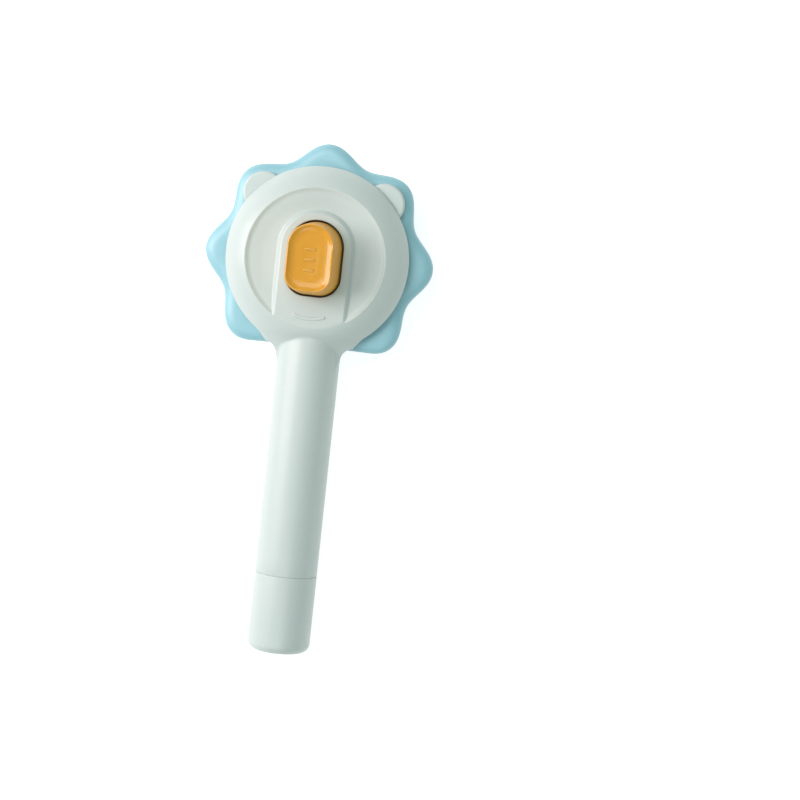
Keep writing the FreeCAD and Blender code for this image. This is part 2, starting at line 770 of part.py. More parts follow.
def make_button_cap():
    height = BUTTON_TOP - CARRIER_TOP
    outside = prism("button_outside", button_outline(0), CARRIER_TOP, height, -d.button_draft)
    hollow = prism("button_hollow", button_outline(-d.button_wall), CARRIER_TOP - 1,
                   BUTTON_CEILING - CARRIER_TOP + 1, -d.button_draft)
    lean = math.tan(math.radians(float(d.button_draft)))
    face_inset = height * lean + d.dish_rim
    dish = prism("button_dish", button_outline(-face_inset), BUTTON_TOP - d.dish_depth, d.dish_depth + 1)

    def top_edge(edge):
        return abs(edge.BoundBox.ZMin - float(BUTTON_TOP)) < 0.01

    softened = rounded("button_round", outside, d.button_top_round, top_edge)
    shell = cut("button_shell", softened, [hollow, dish])
    skirt_outer = cylinder("skirt_outer", d.guide_radius + d.running_fit + d.spring_wire_radius * 2 + d.skirt_margin,
                           BUTTON_CEILING - CARRIER_TOP + d.weld_depth, 0, 0, CARRIER_TOP)
    ridges = []
    for index in (-1, 0, 1):
        half_length = d.ridge_length / 2
        half_width = d.ridge_width / 2
        outline = rounded_rectangle(half_length, half_width, half_width, half_width * 0.98, half_width * 0.98)
        ridge = prism(f"ridge_{index + 1}", outline, BUTTON_TOP - d.dish_depth - d.weld_depth,
                      d.ridge_rise + d.weld_depth)
        bind(ridge, "Placement.Base.y", d.ridge_shift + d.ridge_pitch * index)
        ridges.append(ridge)
    bosses = [
        cylinder(f"button_boss_{index}", d.screw_radius + d.button_boss_wall,
                 BUTTON_CEILING - CARRIER_TOP + d.weld_depth, 0, BUTTON_SCREW_OFFSET * side, CARRIER_TOP)
        for index, side in enumerate((-1, 1))]
    screw_holes = [
        cylinder(f"button_boss_hole_{index}", d.screw_radius + d.seat_fit, d.button_hole_depth, 0,
                 BUTTON_SCREW_OFFSET * side, CARRIER_TOP)
        for index, side in enumerate((-1, 1))]
    guide_bore = cylinder("guide_bore", d.guide_radius + d.running_fit, BUTTON_CEILING - CARRIER_TOP, 0, 0, CARRIER_TOP)
    solid = fuse("button_solid", [shell, skirt_outer] + ridges + bosses)
    finish("button_cap", cut("button_cap", solid, screw_holes + [guide_bore]))


def make_button_carrier():
    half_length = d.button_half_length + d.carrier_lap
    outline = rounded_rectangle(
        d.button_half_width + d.carrier_lap, half_length, half_length, d.carrier_corner, d.carrier_corner)
    frame = prism("carrier_frame", outline, CARRIER_BOTTOM, d.carrier_thickness)
    pads = []
    tools = [cylinder("carrier_hole", GUIDE_FLANGE_RADIUS + d.carrier_hole_gap, d.carrier_thickness, 0, 0, CARRIER_BOTTOM)]
    for index, angle in enumerate(DIAGONALS):
        x, y = polar(ROD_CIRCLE, angle)
        pads.append(cylinder(f"rod_pad_{index}", d.rod_pad_radius, d.carrier_thickness, x, y, CARRIER_BOTTOM))
        tools += countersink(f"rod_screw_seat_{index}", x, y, CARRIER_TOP, d.carrier_thickness, down=True)
    for index, side in enumerate((-1, 1)):
        tools += countersink(f"carrier_screw_seat_{index}", 0, BUTTON_SCREW_OFFSET * side, CARRIER_BOTTOM,
                             d.carrier_thickness)
    finish("button_carrier", cut("button_carrier", fuse("carrier_solid", [frame] + pads), tools))


def make_guide_rods():
    thread = d.rod_thread_depth
    for index, angle in enumerate(DIAGONALS, start=1):
        x, y = polar(ROD_CIRCLE, angle)
        name = f"guide_rod_{index}"
        bar = cylinder(name + "_bar", d.rod_radius, CARRIER_BOTTOM - PLATE_INNER, x, y, PLATE_INNER)
        lower = cylinder(name + "_lower", d.screw_radius + d.seat_fit, thread, x, y, PLATE_INNER)
        upper = cylinder(name + "_upper", d.screw_radius + d.seat_fit, thread, x, y, CARRIER_BOTTOM - thread)
        finish(name, cut(name, bar, [lower, upper]))


# ---- spring and its guide ---------------------------------------------------------------------------------

def make_spring_guide():
    floor_top = SPRING_FOOT
    boss = d.screw_radius + d.guide_boss_wall
    boss_top = floor_top + d.guide_boss_height
    inner = d.guide_radius - d.guide_wall
    guide = turned("spring_guide", [
        (d.screw_radius + d.seat_fit, BASE_TOP),
        (GUIDE_FLANGE_RADIUS, BASE_TOP),
        (GUIDE_FLANGE_RADIUS, floor_top),
        (d.guide_radius, floor_top),
        (d.guide_radius, GUIDE_TOP),
        (inner, GUIDE_TOP),
        (inner, floor_top),
        (boss, floor_top),
        (boss, boss_top),
        (d.screw_radius + d.seat_fit, boss_top),
    ])
    finish("spring_guide", guide)


# The wire follows a helix, which is drawn as arcs through three of its points each.
def make_return_spring():
    wire = float(d.spring_wire_radius)
    mean = float(d.guide_radius - d.guide_wall - d.spring_gap) - wire
    foot = float(SPRING_FOOT) + wire
    pitch = (float(BUTTON_CEILING) - wire - foot) / float(d.spring_turns)
    points_per_turn = 16
    points = []
    for index in range(int(float(d.spring_turns) * points_per_turn) + 1):
        turn = index / points_per_turn
        angle = 2 * math.pi * turn
        points.append(Vector(mean * math.cos(angle), mean * math.sin(angle), pitch * turn))
    arcs = [Part.Arc(*points[index:index + 3]).toShape() for index in range(0, len(points) - 2, 2)]
    section = Part.Wire([Part.makeCircle(wire, points[0], Vector(0, 2 * math.pi * mean, pitch))])
    thing = doc.addObject("Part::Feature", "return_spring")
    thing.Shape = Part.Wire(arcs).makePipeShell([section], True, True, 2)
    finish("return_spring", thing, 0, foot)


# ---- fasteners --------------------------------------------------------------------------------------------

def make_screws():
    base = screw("base_screw_blank", d.base_screw_length, True)
    pan = screw("shell_screw_blank", d.shell_screw_length, False)
    short = screw("plate_screw_blank", d.plate_screw_length, True)
    spots = [(*polar(BASE_SCREW_CIRCLE, angle), BASE_BOTTOM) for angle in QUARTERS]
    finish("pin_base_screws", copies("pin_base_screws", base, spots))
    finish("guide_screw", copies("guide_screw", base, [(0, 0, BASE_BOTTOM)]))
    head_z = BASE_TOP + d.base_gap
    finish("shell_screws", copies("shell_screws", pan, [
        (*polar(SHELL_SCREW_CIRCLE, angle), head_z) for angle in DIAGONALS]))
    finish("plate_screws", copies("plate_screws", short, [
        (*polar(ROD_CIRCLE, angle), d.plate_height) for angle in DIAGONALS]))
    finish("rod_screws", copies("rod_screws", short, [
        (*polar(ROD_CIRCLE, angle), CARRIER_TOP) for angle in DIAGONALS], flipped=True))
    finish("carrier_screws", copies("carrier_screws", base, [
        (0, BUTTON_SCREW_OFFSET * side, CARRIER_BOTTOM) for side in (-1, 1)]))


# ---- end cap and its seal ---------------------------------------------------------------------------------

def make_end_cap():
    spigot = BORE_RADIUS - d.running_fit / 2
    spigot_end = SEAM + d.spigot_length
    groove = spigot - 2 * d.seal_section - d.seat_fit
    groove_start = spigot_end - d.groove_setback
    groove_end = groove_start + d.groove_width
    corner = d.cap_end_round
    cap = turned_along_handle("end_cap", [
        (GRIP_END, 0),
        (GRIP_END + d.wall, 0),
        (GRIP_END + d.wall, spigot - d.spigot_wall),
        (spigot_end, spigot - d.spigot_wall),
        (spigot_end, spigot),
        (groove_end, spigot),
        (groove_end, groove),
        (groove_start, groove),
        (groove_start, spigot),
        (SEAM, spigot),
        (SEAM, d.grip_radius - d.seam_chamfer),
        (SEAM - d.seam_chamfer, d.grip_radius),
        (GRIP_END + corner, d.grip_radius, corner),
        (GRIP_END, d.grip_radius - corner),
    ])
    finish("end_cap", cap, 0, d.grip_height)
    seal_radius = d.seal_section
    seal_y = (groove_start + groove_end) / 2
    seal_mean = spigot - seal_radius
    seal = doc.addObject("Part::Torus", "cap_seal")
    bind(seal, "Radius1", seal_mean)
    bind(seal, "Radius2", seal_radius)
    seal.Placement.Rotation = Rotation(Vector(1, 0, 0), -90)
    finish("cap_seal", seal, seal_y, d.grip_height)


# ---- build, check and write -------------------------------------------------------------------------------

def check_everything():
    doc.recompute()
    for thing in doc.Objects:
        if "Invalid" in thing.State or "Error" in thing.State:
            raise RuntimeError(f"{thing.Name} failed: {thing.State}")
    for label, thing in finished.items():
        if thing.Shape.isNull() or not thing.Shape.isValid():
            raise RuntimeError(f"{label} has no valid shape")


def write_parts():
    os.makedirs("parts", exist_ok=True)
    for label, thing in finished.items():
        thing.Shape.exportStep(f"parts/{label}.step")
        box = thing.Shape.BoundBox
        print(f"{label:16} solids {len(thing.Shape.Solids):3} volume {thing.Shape.Volume:9.1f}"
              f" x {box.XMin:7.2f} {box.XMax:7.2f} y {box.YMin:7.2f} {box.YMax:7.2f} z {box.ZMin:6.2f} {box.ZMax:6.2f}")


make_body_shell()
make_front_shell()
make_pin_base()
make_pins()
make_ejector_plate()
make_button_cap()
make_button_carrier()
make_guide_rods()
make_spring_guide()
make_return_spring()
make_screws()
make_end_cap()
check_everything()
write_parts()
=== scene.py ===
import math
import bpy
import numpy as np
from mathutils import Matrix, Vector


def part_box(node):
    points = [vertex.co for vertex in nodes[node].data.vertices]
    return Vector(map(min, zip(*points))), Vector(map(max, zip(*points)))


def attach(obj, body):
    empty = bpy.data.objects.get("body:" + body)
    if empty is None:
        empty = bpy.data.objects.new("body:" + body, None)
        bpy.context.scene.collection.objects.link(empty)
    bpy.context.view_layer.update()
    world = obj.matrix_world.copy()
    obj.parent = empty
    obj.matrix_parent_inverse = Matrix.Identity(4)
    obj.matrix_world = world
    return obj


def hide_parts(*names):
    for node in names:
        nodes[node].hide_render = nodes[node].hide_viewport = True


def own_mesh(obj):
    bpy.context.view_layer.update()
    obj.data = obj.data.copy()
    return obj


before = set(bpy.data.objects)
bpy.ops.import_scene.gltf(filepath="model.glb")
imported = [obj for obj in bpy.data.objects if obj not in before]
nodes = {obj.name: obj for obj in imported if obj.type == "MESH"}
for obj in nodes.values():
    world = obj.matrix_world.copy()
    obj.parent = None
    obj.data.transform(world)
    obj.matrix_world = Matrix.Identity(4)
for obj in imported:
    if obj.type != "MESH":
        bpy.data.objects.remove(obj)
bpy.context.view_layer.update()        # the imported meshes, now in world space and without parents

mm = 0.001
turn = 2 * math.pi
sharpAngle = 38                      # degrees between two faces, past which their shared edge is drawn sharp
bevelMiddle = 0.3                    # where a rounded edge's middle lies, in radii: about 1 - cos 45 degrees
fourCorners = (45, 135, 225, 315)    # degrees round the head's axis at which the screws stand


# Lowest and highest corner of a CAD node in millimetres.
def boxOf(node):
    low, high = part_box(node)
    return np.array(low) / mm, np.array(high) / mm


shellLow, shellHigh = boxOf("body_shell")
capLow, capHigh = boxOf("end_cap")
baseLow, baseHigh = boxOf("pin_base")
plateLow, plateHigh = boxOf("ejector_plate")
buttonLow, buttonHigh = boxOf("button_cap")
springLow, springHigh = boxOf("return_spring")
headY = (baseLow[1] + baseHigh[1]) / 2           # the head's upright axis
gripZ = (capLow[2] + capHigh[2]) / 2             # the handle's level axis
gripRadius = (capHigh[0] - capLow[0]) / 2
rimRadius = shellHigh[0]
print("frame loaded, head axis at y =", round(headY, 3))


# Camera.

# Its upward direction leans, so that the handle's foot stands to the left.
cameraSizes = {
    "lens": 85.0, "nearest": 10.0,
    "place": (84.5, 52.2, 750.6),
    "aim": (36.6, 2.95, 0.0),
    "upwards": (-0.1123, 0.9920, -0.0579),
}


# Turns the camera by three directions square to each other: back from the aim, right and upwards.
def makeCamera(sizes):
    data = bpy.data.cameras.new("camera")
    data.lens = sizes["lens"]
    data.clip_start = sizes["nearest"] * mm
    camera = bpy.data.objects.new("camera", data)
    bpy.context.scene.collection.objects.link(camera)
    back = (Vector(sizes["place"]) - Vector(sizes["aim"])).normalized()
    right = Vector(sizes["upwards"]).cross(back).normalized()
    upwards = back.cross(right)
    camera.matrix_world = Matrix((
        (right.x, upwards.x, back.x, sizes["place"][0] * mm),
        (right.y, upwards.y, back.y, sizes["place"][1] * mm),
        (right.z, upwards.z, back.z, sizes["place"][2] * mm),
        (0, 0, 0, 1)))
    bpy.context.scene.camera = camera


makeCamera(cameraSizes)
print("camera placed")


# Meshes from numpy surfaces.

# Joins rings of points, each (count, 3), into a closed skin. "loop" joins the last ring to the first;
# "poles" closes both ends on the middle of the end rings.
def skin(rings, ends="loop"):
    rings = np.asarray(rings, float)
    count, around = rings.shape[:2]
    points = rings.reshape(-1, 3)
    index = np.arange(count * around).reshape(count, around)
    after = np.roll(index, -1, axis=1)
    if ends == "loop":
        upper, upperAfter = np.roll(index, -1, axis=0), np.roll(after, -1, axis=0)
        faces = np.stack([index, after, upperAfter, upper], axis=-1).reshape(-1, 4)
        fans = np.zeros((0, 3), int)
    else:
        faces = np.stack([index[:-1], after[:-1], after[1:], index[1:]], axis=-1).reshape(-1, 4)
        first, last = len(points), len(points) + 1
        points = np.vstack([points, rings[0].mean(axis=0), rings[-1].mean(axis=0)])
        fans = np.vstack([
            np.stack([after[0], index[0], np.full(around, first)], axis=-1),
            np.stack([index[-1], after[-1], np.full(around, last)], axis=-1)])
    triangles = np.vstack([faces[:, [0, 1, 2]], faces[:, [0, 2, 3]], fans])
    a, b, c = (points[triangles[:, i]] for i in range(3))
    # the enclosed volume's sign tells which way the faces point
    if np.einsum("ij,ij->i", a, np.cross(b, c)).sum() < 0:
        faces, fans = faces[:, ::-1], fans[:, ::-1]
    return points, faces, fans


# Puts several skins, given in millimetres, into one mesh object at the origin.
def makePiece(name, skins):
    points, quads, fans, used = [], [], [], 0
    for skinPoints, skinQuads, skinFans in skins:
        points.append(skinPoints)
        quads.append(skinQuads + used)
        fans.append(skinFans + used)
        used += len(skinPoints)
    points, quads, fans = np.vstack(points) * mm, np.vstack(quads), np.vstack(fans)
    corners = np.concatenate([quads.ravel(), fans.ravel()]).astype(np.int32)
    sizes = np.concatenate([np.full(len(quads), 4), np.full(len(fans), 3)])
    starts = np.concatenate([[0], np.cumsum(sizes)[:-1]]).astype(np.int32)
    mesh = bpy.data.meshes.new(name)
    mesh.vertices.add(len(points))
    mesh.vertices.foreach_set("co", points.astype(np.float32).ravel())
    mesh.loops.add(len(corners))
    mesh.loops.foreach_set("vertex_index", corners)
    mesh.polygons.add(len(sizes))
    mesh.polygons.foreach_set("loop_start", starts)
    mesh.update(calc_edges=True)
    mesh.validate()
    mesh.shade_smooth()
    mesh.set_sharp_from_angle(angle=math.radians(sharpAngle))
    piece = bpy.data.objects.new(name, mesh)
    bpy.context.scene.collection.objects.link(piece)
    return piece


# A piece's place in the model: its material, its body and the CAD nodes it stands for, which are hidden. The
# slot name is not used.
def settle(piece, material, body, slotName, *replaced):
    piece.data.materials.clear()
    piece.data.materials.append(material)
    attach(piece, body)
    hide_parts(*replaced)


# Curves and outlines.

# The greater of two heights, with the corner between them rounded: where they differ by less than softness,
# a parabola of that difference is added, softness / 4 high in the middle.
def softMax(a, b, softness):
    near = np.maximum(softness - np.abs(a - b), 0) / softness
    return np.maximum(a, b) + near * near * softness / 4


# The lesser of two heights, rounded in the same way.
def softMin(a, b, softness):
    return -softMax(-np.asarray(a), -np.asarray(b), softness)


# The centre of the arc that is walked anticlockwise from start to end.
def arcCentre(start, end, radius):
    start, end = np.array(start, float), np.array(end, float)
    chord = end - start
    length = np.hypot(*chord)
    left = np.array([-chord[1], chord[0]]) / length
    return (start + end) / 2 + left * math.sqrt(radius * radius - length * length / 4)


# Points on that arc: centre plus radius times (cos, sin) of an angle that runs evenly.
def arcPoints(start, end, radius, count):
    centre = arcCentre(start, end, radius)
    first = math.atan2(*(np.array(start) - centre)[::-1])
    last = math.atan2(*(np.array(end) - centre)[::-1])
    angles = np.linspace(first, last + (turn if last < first else 0), count)
    return centre + radius * np.stack([np.cos(angles), np.sin(angles)], axis=-1)


# A path through corners (a, b, radius), each turned through an arc that is tangent to both its sides. The
# end corners stay sharp.
def roundedPath(corners, steps=5):
    places = np.array([corner[:2] for corner in corners], float)
    path = []
    for index, corner in enumerate(corners):
        radius = corner[2] if len(corner) > 2 else 0
        here = places[index]
        if not radius or index in (0, len(corners) - 1):
            path.append(here[None])
            continue
        before, after = places[index - 1] - here, places[index + 1] - here
        before, after = before / np.hypot(*before), after / np.hypot(*after)
        half = math.acos(np.clip(before @ after, -1, 1)) / 2
        reachIn = radius / math.tan(half)
        middle = (before + after) / np.hypot(*(before + after))
        centre = here + middle * radius / math.sin(half)
        start, end = here + before * reachIn - centre, here + after * reachIn - centre
        share = np.linspace(0, 1, steps)[:, None]
        spread = math.pi - 2 * half
        between = np.sin((1 - share) * spread) * start + np.sin(share * spread) * end
        path.append(centre + between / math.sin(spread))
    return np.vstack(path)


# Angles that run evenly once round.
def roundAngles(count):
    return np.linspace(0, turn, count, endpoint=False)


# Points about an upright axis, the head's own or one beside it: x and y = distance times (cos, sin) of the
# angle. Columns of distances and heights give one ring for each row.
def upright(angles, distance, height, centre=(0.0, 0.0)):
    return np.stack([
        centre[0] + distance * np.cos(angles),
        headY + centre[1] + distance * np.sin(angles),
        height + 0 * angles], axis=-1)


# Carries a profile of (distance, height) round that axis.
def turned(profile, around, centre=(0.0, 0.0)):
    return upright(roundAngles(around), profile[:, :1], profile[:, 1:], centre)


# An upright tube with square corners.
def tube(bore, radius, low, high, around, centre=(0.0, 0.0)):
    profile = np.array([(bore, low), (radius, low), (radius, high), (bore, high)])
    return skin(turned(profile, around, centre))


# The point of a circle about the head's axis at an angle in radians: radius times (cos, sin).
def onCircle(radius, angle):
    return radius * math.cos(angle), radius * math.sin(angle)


# Carries a profile of (y, distance) round the handle's axis: x and z = distance times (cos, sin).
def turnedAlongHandle(profile, around):
    angles = roundAngles(around)
    return np.stack([
        profile[:, 1:] * np.cos(angles),
        profile[:, :1] + 0 * angles,
        gripZ + profile[:, 1:] * np.sin(angles)], axis=-1)


# Distance inside a rounded rectangle, positive within. Corners at y > 0 and y < 0 have their own radii.
def insideRectangle(x, y, halfWidth, halfLength, frontRound, backRound):
    corner = np.where(y > 0, frontRound, backRound)
    across, along = np.abs(x) - (halfWidth - corner), np.abs(y) - (halfLength - corner)
    beyond = np.hypot(np.maximum(across, 0), np.maximum(along, 0))
    return corner - beyond - np.minimum(np.maximum(across, along), 0)


raySizes = {"length": 70.0, "halvings": 36}


# How far each angle's ray runs from the centre before the inside distance falls to level, found by halving.
def reach(inside, angles, level):
    near, far = np.zeros_like(angles), np.full_like(angles, raySizes["length"])
    for _ in range(raySizes["halvings"]):
        middle = (near + far) / 2
        within = inside(middle * np.cos(angles), middle * np.sin(angles)) > level
        near, far = np.where(within, middle, near), np.where(within, far, middle)
    return near


# Materials.

# sRGB hex to the linear values that shaders take.
def linear(hexText):
    parts = [int(hexText[i:i + 2], 16) / 255 for i in (0, 2, 4)]
    return tuple(p / 12.92 if p <= 0.04045 else ((p + 0.055) / 1.055) ** 2.4 for p in parts) + (1.0,)


# Adds one node: settings are its own properties, values its sockets' numbers, and links what feeds them.
def addNode(tree, kind, values=None, links=None, **settings):
    node = tree.nodes.new("ShaderNode" + kind)
    for name, value in settings.items():
        setattr(node, name, value)
    for name, value in (values or {}).items():
        node.inputs[name].default_value = value
    for name, source in (links or {}).items():
        tree.links.new(source, node.inputs[name])
    return node


# An empty material with its shader and the piece's own coordinates, which every pattern reads.
def newMaterial(name):
    material = bpy.data.materials.new(name)
    material.use_nodes = True
    tree = material.node_tree
    tree.nodes.clear()
    shader = addNode(tree, "BsdfPrincipled")
    addNode(tree, "OutputMaterial", links={"Surface": shader.outputs["BSDF"]})
    place = addNode(tree, "TexCoord").outputs["Object"]
    return material, tree, shader, place


# Injection moulded plastic. The eye gets an even colour that drifts a little across the part, a soft gloss,
# the faint unevenness of a skin that shrank in its mould, spark-eroded grain and, in a low light, fine
# handling scratches.
def mouldedPlastic(name, look):
    material, tree, shader, place = newMaterial(name)
    drift = addNode(tree, "TexNoise", {"Scale": 1000 / look["driftSize"], "Detail": 2.0, "Roughness": 0.5},
                    {"Vector": place})
    colour = addNode(tree, "Mix", {6: linear(look["colour"]), 7: linear(look["driftColour"])},
                     {0: drift.outputs["Fac"]}, data_type="RGBA")
    specks = addNode(tree, "TexNoise", {"Scale": 1000 / look["speckSize"], "Detail": 3.0}, {"Vector": place})
    speckShade = addNode(tree, "MapRange", {
        "From Min": look["speckSpread"][0], "From Max": look["speckSpread"][1],
        "To Min": 1 - look["speckDepth"], "To Max": 1.0}, {"Value": specks.outputs["Fac"]})
    shaded = addNode(tree, "Mix", {0: 1.0}, {6: colour.outputs[2], 7: speckShade.outputs["Result"]},
                     data_type="RGBA", blend_type="MULTIPLY")
    tree.links.new(shaded.outputs[2], shader.inputs["Base Color"])

    # scratches: noise drawn out forty to one in one direction, kept only where it peaks
    acrossScale, alongScale = 1000 / look["scratchWidth"], 1000 / look["scratchLength"]
    stretched = addNode(tree, "Mapping", {
        "Rotation": look["scratchAngles"],
        "Scale": (acrossScale, alongScale, acrossScale)}, {"Vector": place})
    streaks = addNode(tree, "TexNoise", {"Scale": 1.0, "Detail": 1.0},
                      {"Vector": stretched.outputs["Vector"]})
    scratch = addNode(tree, "MapRange", {
        "From Min": look["scratchPeak"][0], "From Max": look["scratchPeak"][1]},
        {"Value": streaks.outputs["Fac"]})
    gloss = addNode(tree, "MapRange", {
        "To Min": look["roughness"] - look["roughnessDrift"],
        "To Max": look["roughness"] + look["roughnessDrift"]}, {"Value": drift.outputs["Fac"]})
    worn = addNode(tree, "Math", {1: look["scratchDulling"]},
                   {0: scratch.outputs["Result"], 2: gloss.outputs["Result"]}, operation="MULTIPLY_ADD")
    # a side wall that is left duller than the polished top, with a soft change between them
    height = addNode(tree, "SeparateXYZ", links={"Vector": place})
    sideDull = addNode(tree, "MapRange", {
        "From Min": (look["polishedAbove"] - look["polishSoftness"]) * mm,
        "From Max": look["polishedAbove"] * mm,
        "To Min": look["sideDulling"], "To Max": 0.0}, {"Value": height.outputs["Z"]})
    surface = addNode(tree, "Math", links={0: worn.outputs["Value"], 1: sideDull.outputs["Result"]},
                      operation="ADD")
    tree.links.new(surface.outputs["Value"], shader.inputs["Roughness"])

    shrink = addNode(tree, "TexNoise", {"Scale": 1000 / look["shrinkSize"], "Detail": 1.0}, {"Vector": place})
    grain = addNode(tree, "TexNoise", {"Scale": 1000 / look["grainSize"], "Detail": 2.0}, {"Vector": place})
    uneven = addNode(tree, "Bump", {"Strength": 1.0, "Distance": look["shrinkDepth"] * mm},
                     {"Height": shrink.outputs["Fac"]})
    grained = addNode(tree, "Bump", {"Strength": 1.0, "Distance": look["grainDepth"] * mm},
                      {"Height": grain.outputs["Fac"], "Normal": uneven.outputs["Normal"]})
    tree.links.new(grained.outputs["Normal"], shader.inputs["Normal"])
    shader.inputs["IOR"].default_value = look["ior"]
    shader.inputs["Subsurface Weight"].default_value = look["glow"]
    shader.inputs["Subsurface Radius"].default_value = look["glowSpread"]
    shader.inputs["Subsurface Scale"].default_value = look["glowDepth"] * mm
    return material


# In millimetres. Grain is 0.1 mm on the real skin, and drawn at 0.5 mm because finer would not show.
shellLook = {
    "colour": "C3D0CB", "driftColour": "BFCDC9", "driftSize": 22.0,
    "speckSize": 1.4, "speckDepth": 0.015, "speckSpread": (0.3, 0.7),
    "roughness": 0.34, "roughnessDrift": 0.05,
    "scratchWidth": 0.35, "scratchLength": 14.0, "scratchAngles": (0.3, 0.2, 0.5),
    "scratchPeak": (0.68, 0.76), "scratchDulling": 0.10,
    "polishedAbove": 0.0, "polishSoftness": 1.2, "sideDulling": 0.0,
    "shrinkSize": 9.0, "shrinkDepth": 0.05, "grainSize": 0.5, "grainDepth": 0.006,
    "glow": 0.06, "glowDepth": 1.2, "glowSpread": (1.0, 0.9, 0.85), "ior": 1.53,
}
plateLook = dict(shellLook, colour="8FC5CF", driftColour="8AC1CC", scratchAngles=(0.3, 0.2, 1.1),
                 roughness=0.45, ior=1.85)      # a brighter sheen than plain ABS has
buttonLook = dict(shellLook, colour="D79D30", driftColour="D3972B", driftSize=12.0,
                  scratchAngles=(0.3, 0.2, -0.7), scratchDulling=0.03, roughness=0.16, roughnessDrift=0.02,
                  shrinkSize=6.0, shrinkDepth=0.03, grainDepth=0.004, glow=0.2, glowSpread=(1.0, 0.55, 0.25),
                  polishedAbove=buttonHigh[2] - 1.4, sideDulling=0.5)      # the top 1.4 mm is polished
innerLook = dict(shellLook, colour="4A3A2E", driftColour="44352A", roughness=0.5, glow=0.0)
shellPlastic = mouldedPlastic("moulded_ABS_pale_mint", shellLook)
platePlastic = mouldedPlastic("moulded_ABS_light_blue", plateLook)
buttonPlastic = mouldedPlastic("moulded_ABS_orange", buttonLook)
innerPlastic = mouldedPlastic("moulded_acetal_dark", innerLook)


# Steel wire, rods and screws: grey metal. Drawn or ground lines blur a wire's or rod's highlight across
# them, and the screws have an even grain.
def drawnSteel(name, look):
    material, tree, shader, place = newMaterial(name)
    scale = tuple(1000 / size for size in look["lineSizes"])
    lines = addNode(tree, "Mapping", {"Scale": scale}, {"Vector": place})
    drawn = addNode(tree, "TexNoise", {"Scale": 1.0, "Detail": 3.0}, {"Vector": lines.outputs["Vector"]})
    tint = addNode(tree, "Mix", {6: linear(look["colour"]), 7: linear(look["lineColour"])},
                   {0: drawn.outputs["Fac"]}, data_type="RGBA")
    tree.links.new(tint.outputs[2], shader.inputs["Base Color"])
    dull = addNode(tree, "MapRange", {
        "To Min": look["roughness"] - look["roughnessDrift"],
        "To Max": look["roughness"] + look["roughnessDrift"]}, {"Value": drawn.outputs["Fac"]})
    tree.links.new(dull.outputs["Result"], shader.inputs["Roughness"])
    ridged = addNode(tree, "Bump", {"Strength": 1.0, "Distance": look["lineDepth"] * mm},
                     {"Height": drawn.outputs["Fac"]})
    tree.links.new(ridged.outputs["Normal"], shader.inputs["Normal"])
    shader.inputs["Metallic"].default_value = 1.0
    return material


steelLook = {"roughnessDrift": 0.07, "lineDepth": 0.003}
pinSteel = drawnSteel("drawn_stainless_wire", dict(
    steelLook, colour="C9CACC", lineColour="B7B9BC", roughness=0.20, lineSizes=(0.3, 0.3, 4.0)))
springSteel = drawnSteel("patented_spring_wire", dict(
    steelLook, colour="A9AAAE", lineColour="97989D", roughness=0.28, lineSizes=(2.0, 2.0, 0.3)))
rodSteel = drawnSteel("ground_stainless_rod", dict(
    steelLook, colour="BFC0C3", lineColour="AEB0B4", roughness=0.22, lineSizes=(3.0, 3.0, 0.25),
    lineDepth=0.002))
screwSteel = drawnSteel("passivated_screw_steel", dict(
    steelLook, colour="A7A9AC", lineColour="8F9296", roughness=0.32, lineSizes=(0.5, 0.5, 0.5),
    lineDepth=0.004))


# Moulded nitrile rubber: nearly black, with a dusty bloom and a dull grain.
def mouldedRubber(name, look):
    material, tree, shader, place = newMaterial(name)
    bloom = addNode(tree, "TexNoise", {"Scale": 1000 / look["bloomSize"], "Detail": 4.0}, {"Vector": place})
    tint = addNode(tree, "Mix", {6: linear(look["colour"]), 7: linear(look["bloomColour"])},
                   {0: bloom.outputs["Fac"]}, data_type="RGBA")
    tree.links.new(tint.outputs[2], shader.inputs["Base Color"])
    rough = addNode(tree, "Bump", {"Strength": 1.0, "Distance": look["grainDepth"] * mm},
                    {"Height": bloom.outputs["Fac"]})
    tree.links.new(rough.outputs["Normal"], shader.inputs["Normal"])
    shader.inputs["Roughness"].default_value = look["roughness"]
    return material


rubberLook = {"colour": "1E1E1F", "bloomColour": "333334", "bloomSize": 2.5, "grainDepth": 0.01,
              "roughness": 0.62}
sealRubber = mouldedRubber("moulded_nitrile_rubber", rubberLook)
print("materials made")


# Body shell: dome, arch and rib.

domeSizes = {
    "around": 540,
    "splitHeight": 20.4, "rimRound": 0.9, "rimBulge": 1.08, "rimSteps": 6,
    "crestRadius": 27.2, "crestHeight": 28.7, "flankBulge": 22.0, "flankSteps": 22,
    "recessFloor": 27.5, "recessWallSlope": 0.5, "recessDish": (19.5, 25.6, 0.42),    # starts, ends, rises by
    "wall": 1.8, "ceiling": 25.7, "cavityRadius": 26.3, "cavitySteps": 14, "edgeSoftness": 0.35,
    "holeGap": 0.6, "holeRound": 0.25,
    "bossRadius": 2.9, "bossHole": 1.02, "bossCircle": 29.5, "bossTop": 25.0, "bossAround": 28,
}
# Where the dome's stations lie: levels inside the arch's outline, each held within a limit; shares of the
# way on to the recess wall; and distances over that wall and the crest.
stationSizes = {
    "quarters": (0.25, 0.5, 0.75),
    "archLevels": (2.6, 2.42, 2.26, 2.1, 1.94, 1.78, 1.6, 1.05, 0.5, 0.3, 0.12, -0.05, -0.22, -0.4, -0.6),
    "archLimit": 25.9, "archLimitStep": 0.025,
    "recessShares": (0.2, 0.36, 0.5, 0.62, 0.72, 0.8, 0.86, 0.9, 0.93, 0.95, 0.97, 0.985), "recessEnd": 26.32,
    "crest": (26.36, 26.44, 26.52, 26.6, 26.68, 26.78, 26.9, 27.02, 27.1, 27.2, 27.3, 27.4, 27.5, 27.65),
}
archSizes = {
    "top": 29.0, "foot": 27.6, "bevelWidth": 1.4, "halfWidth": 14.9,
    "shoulder": 14.4, "crown": 15.5, "front": 18.65,
}
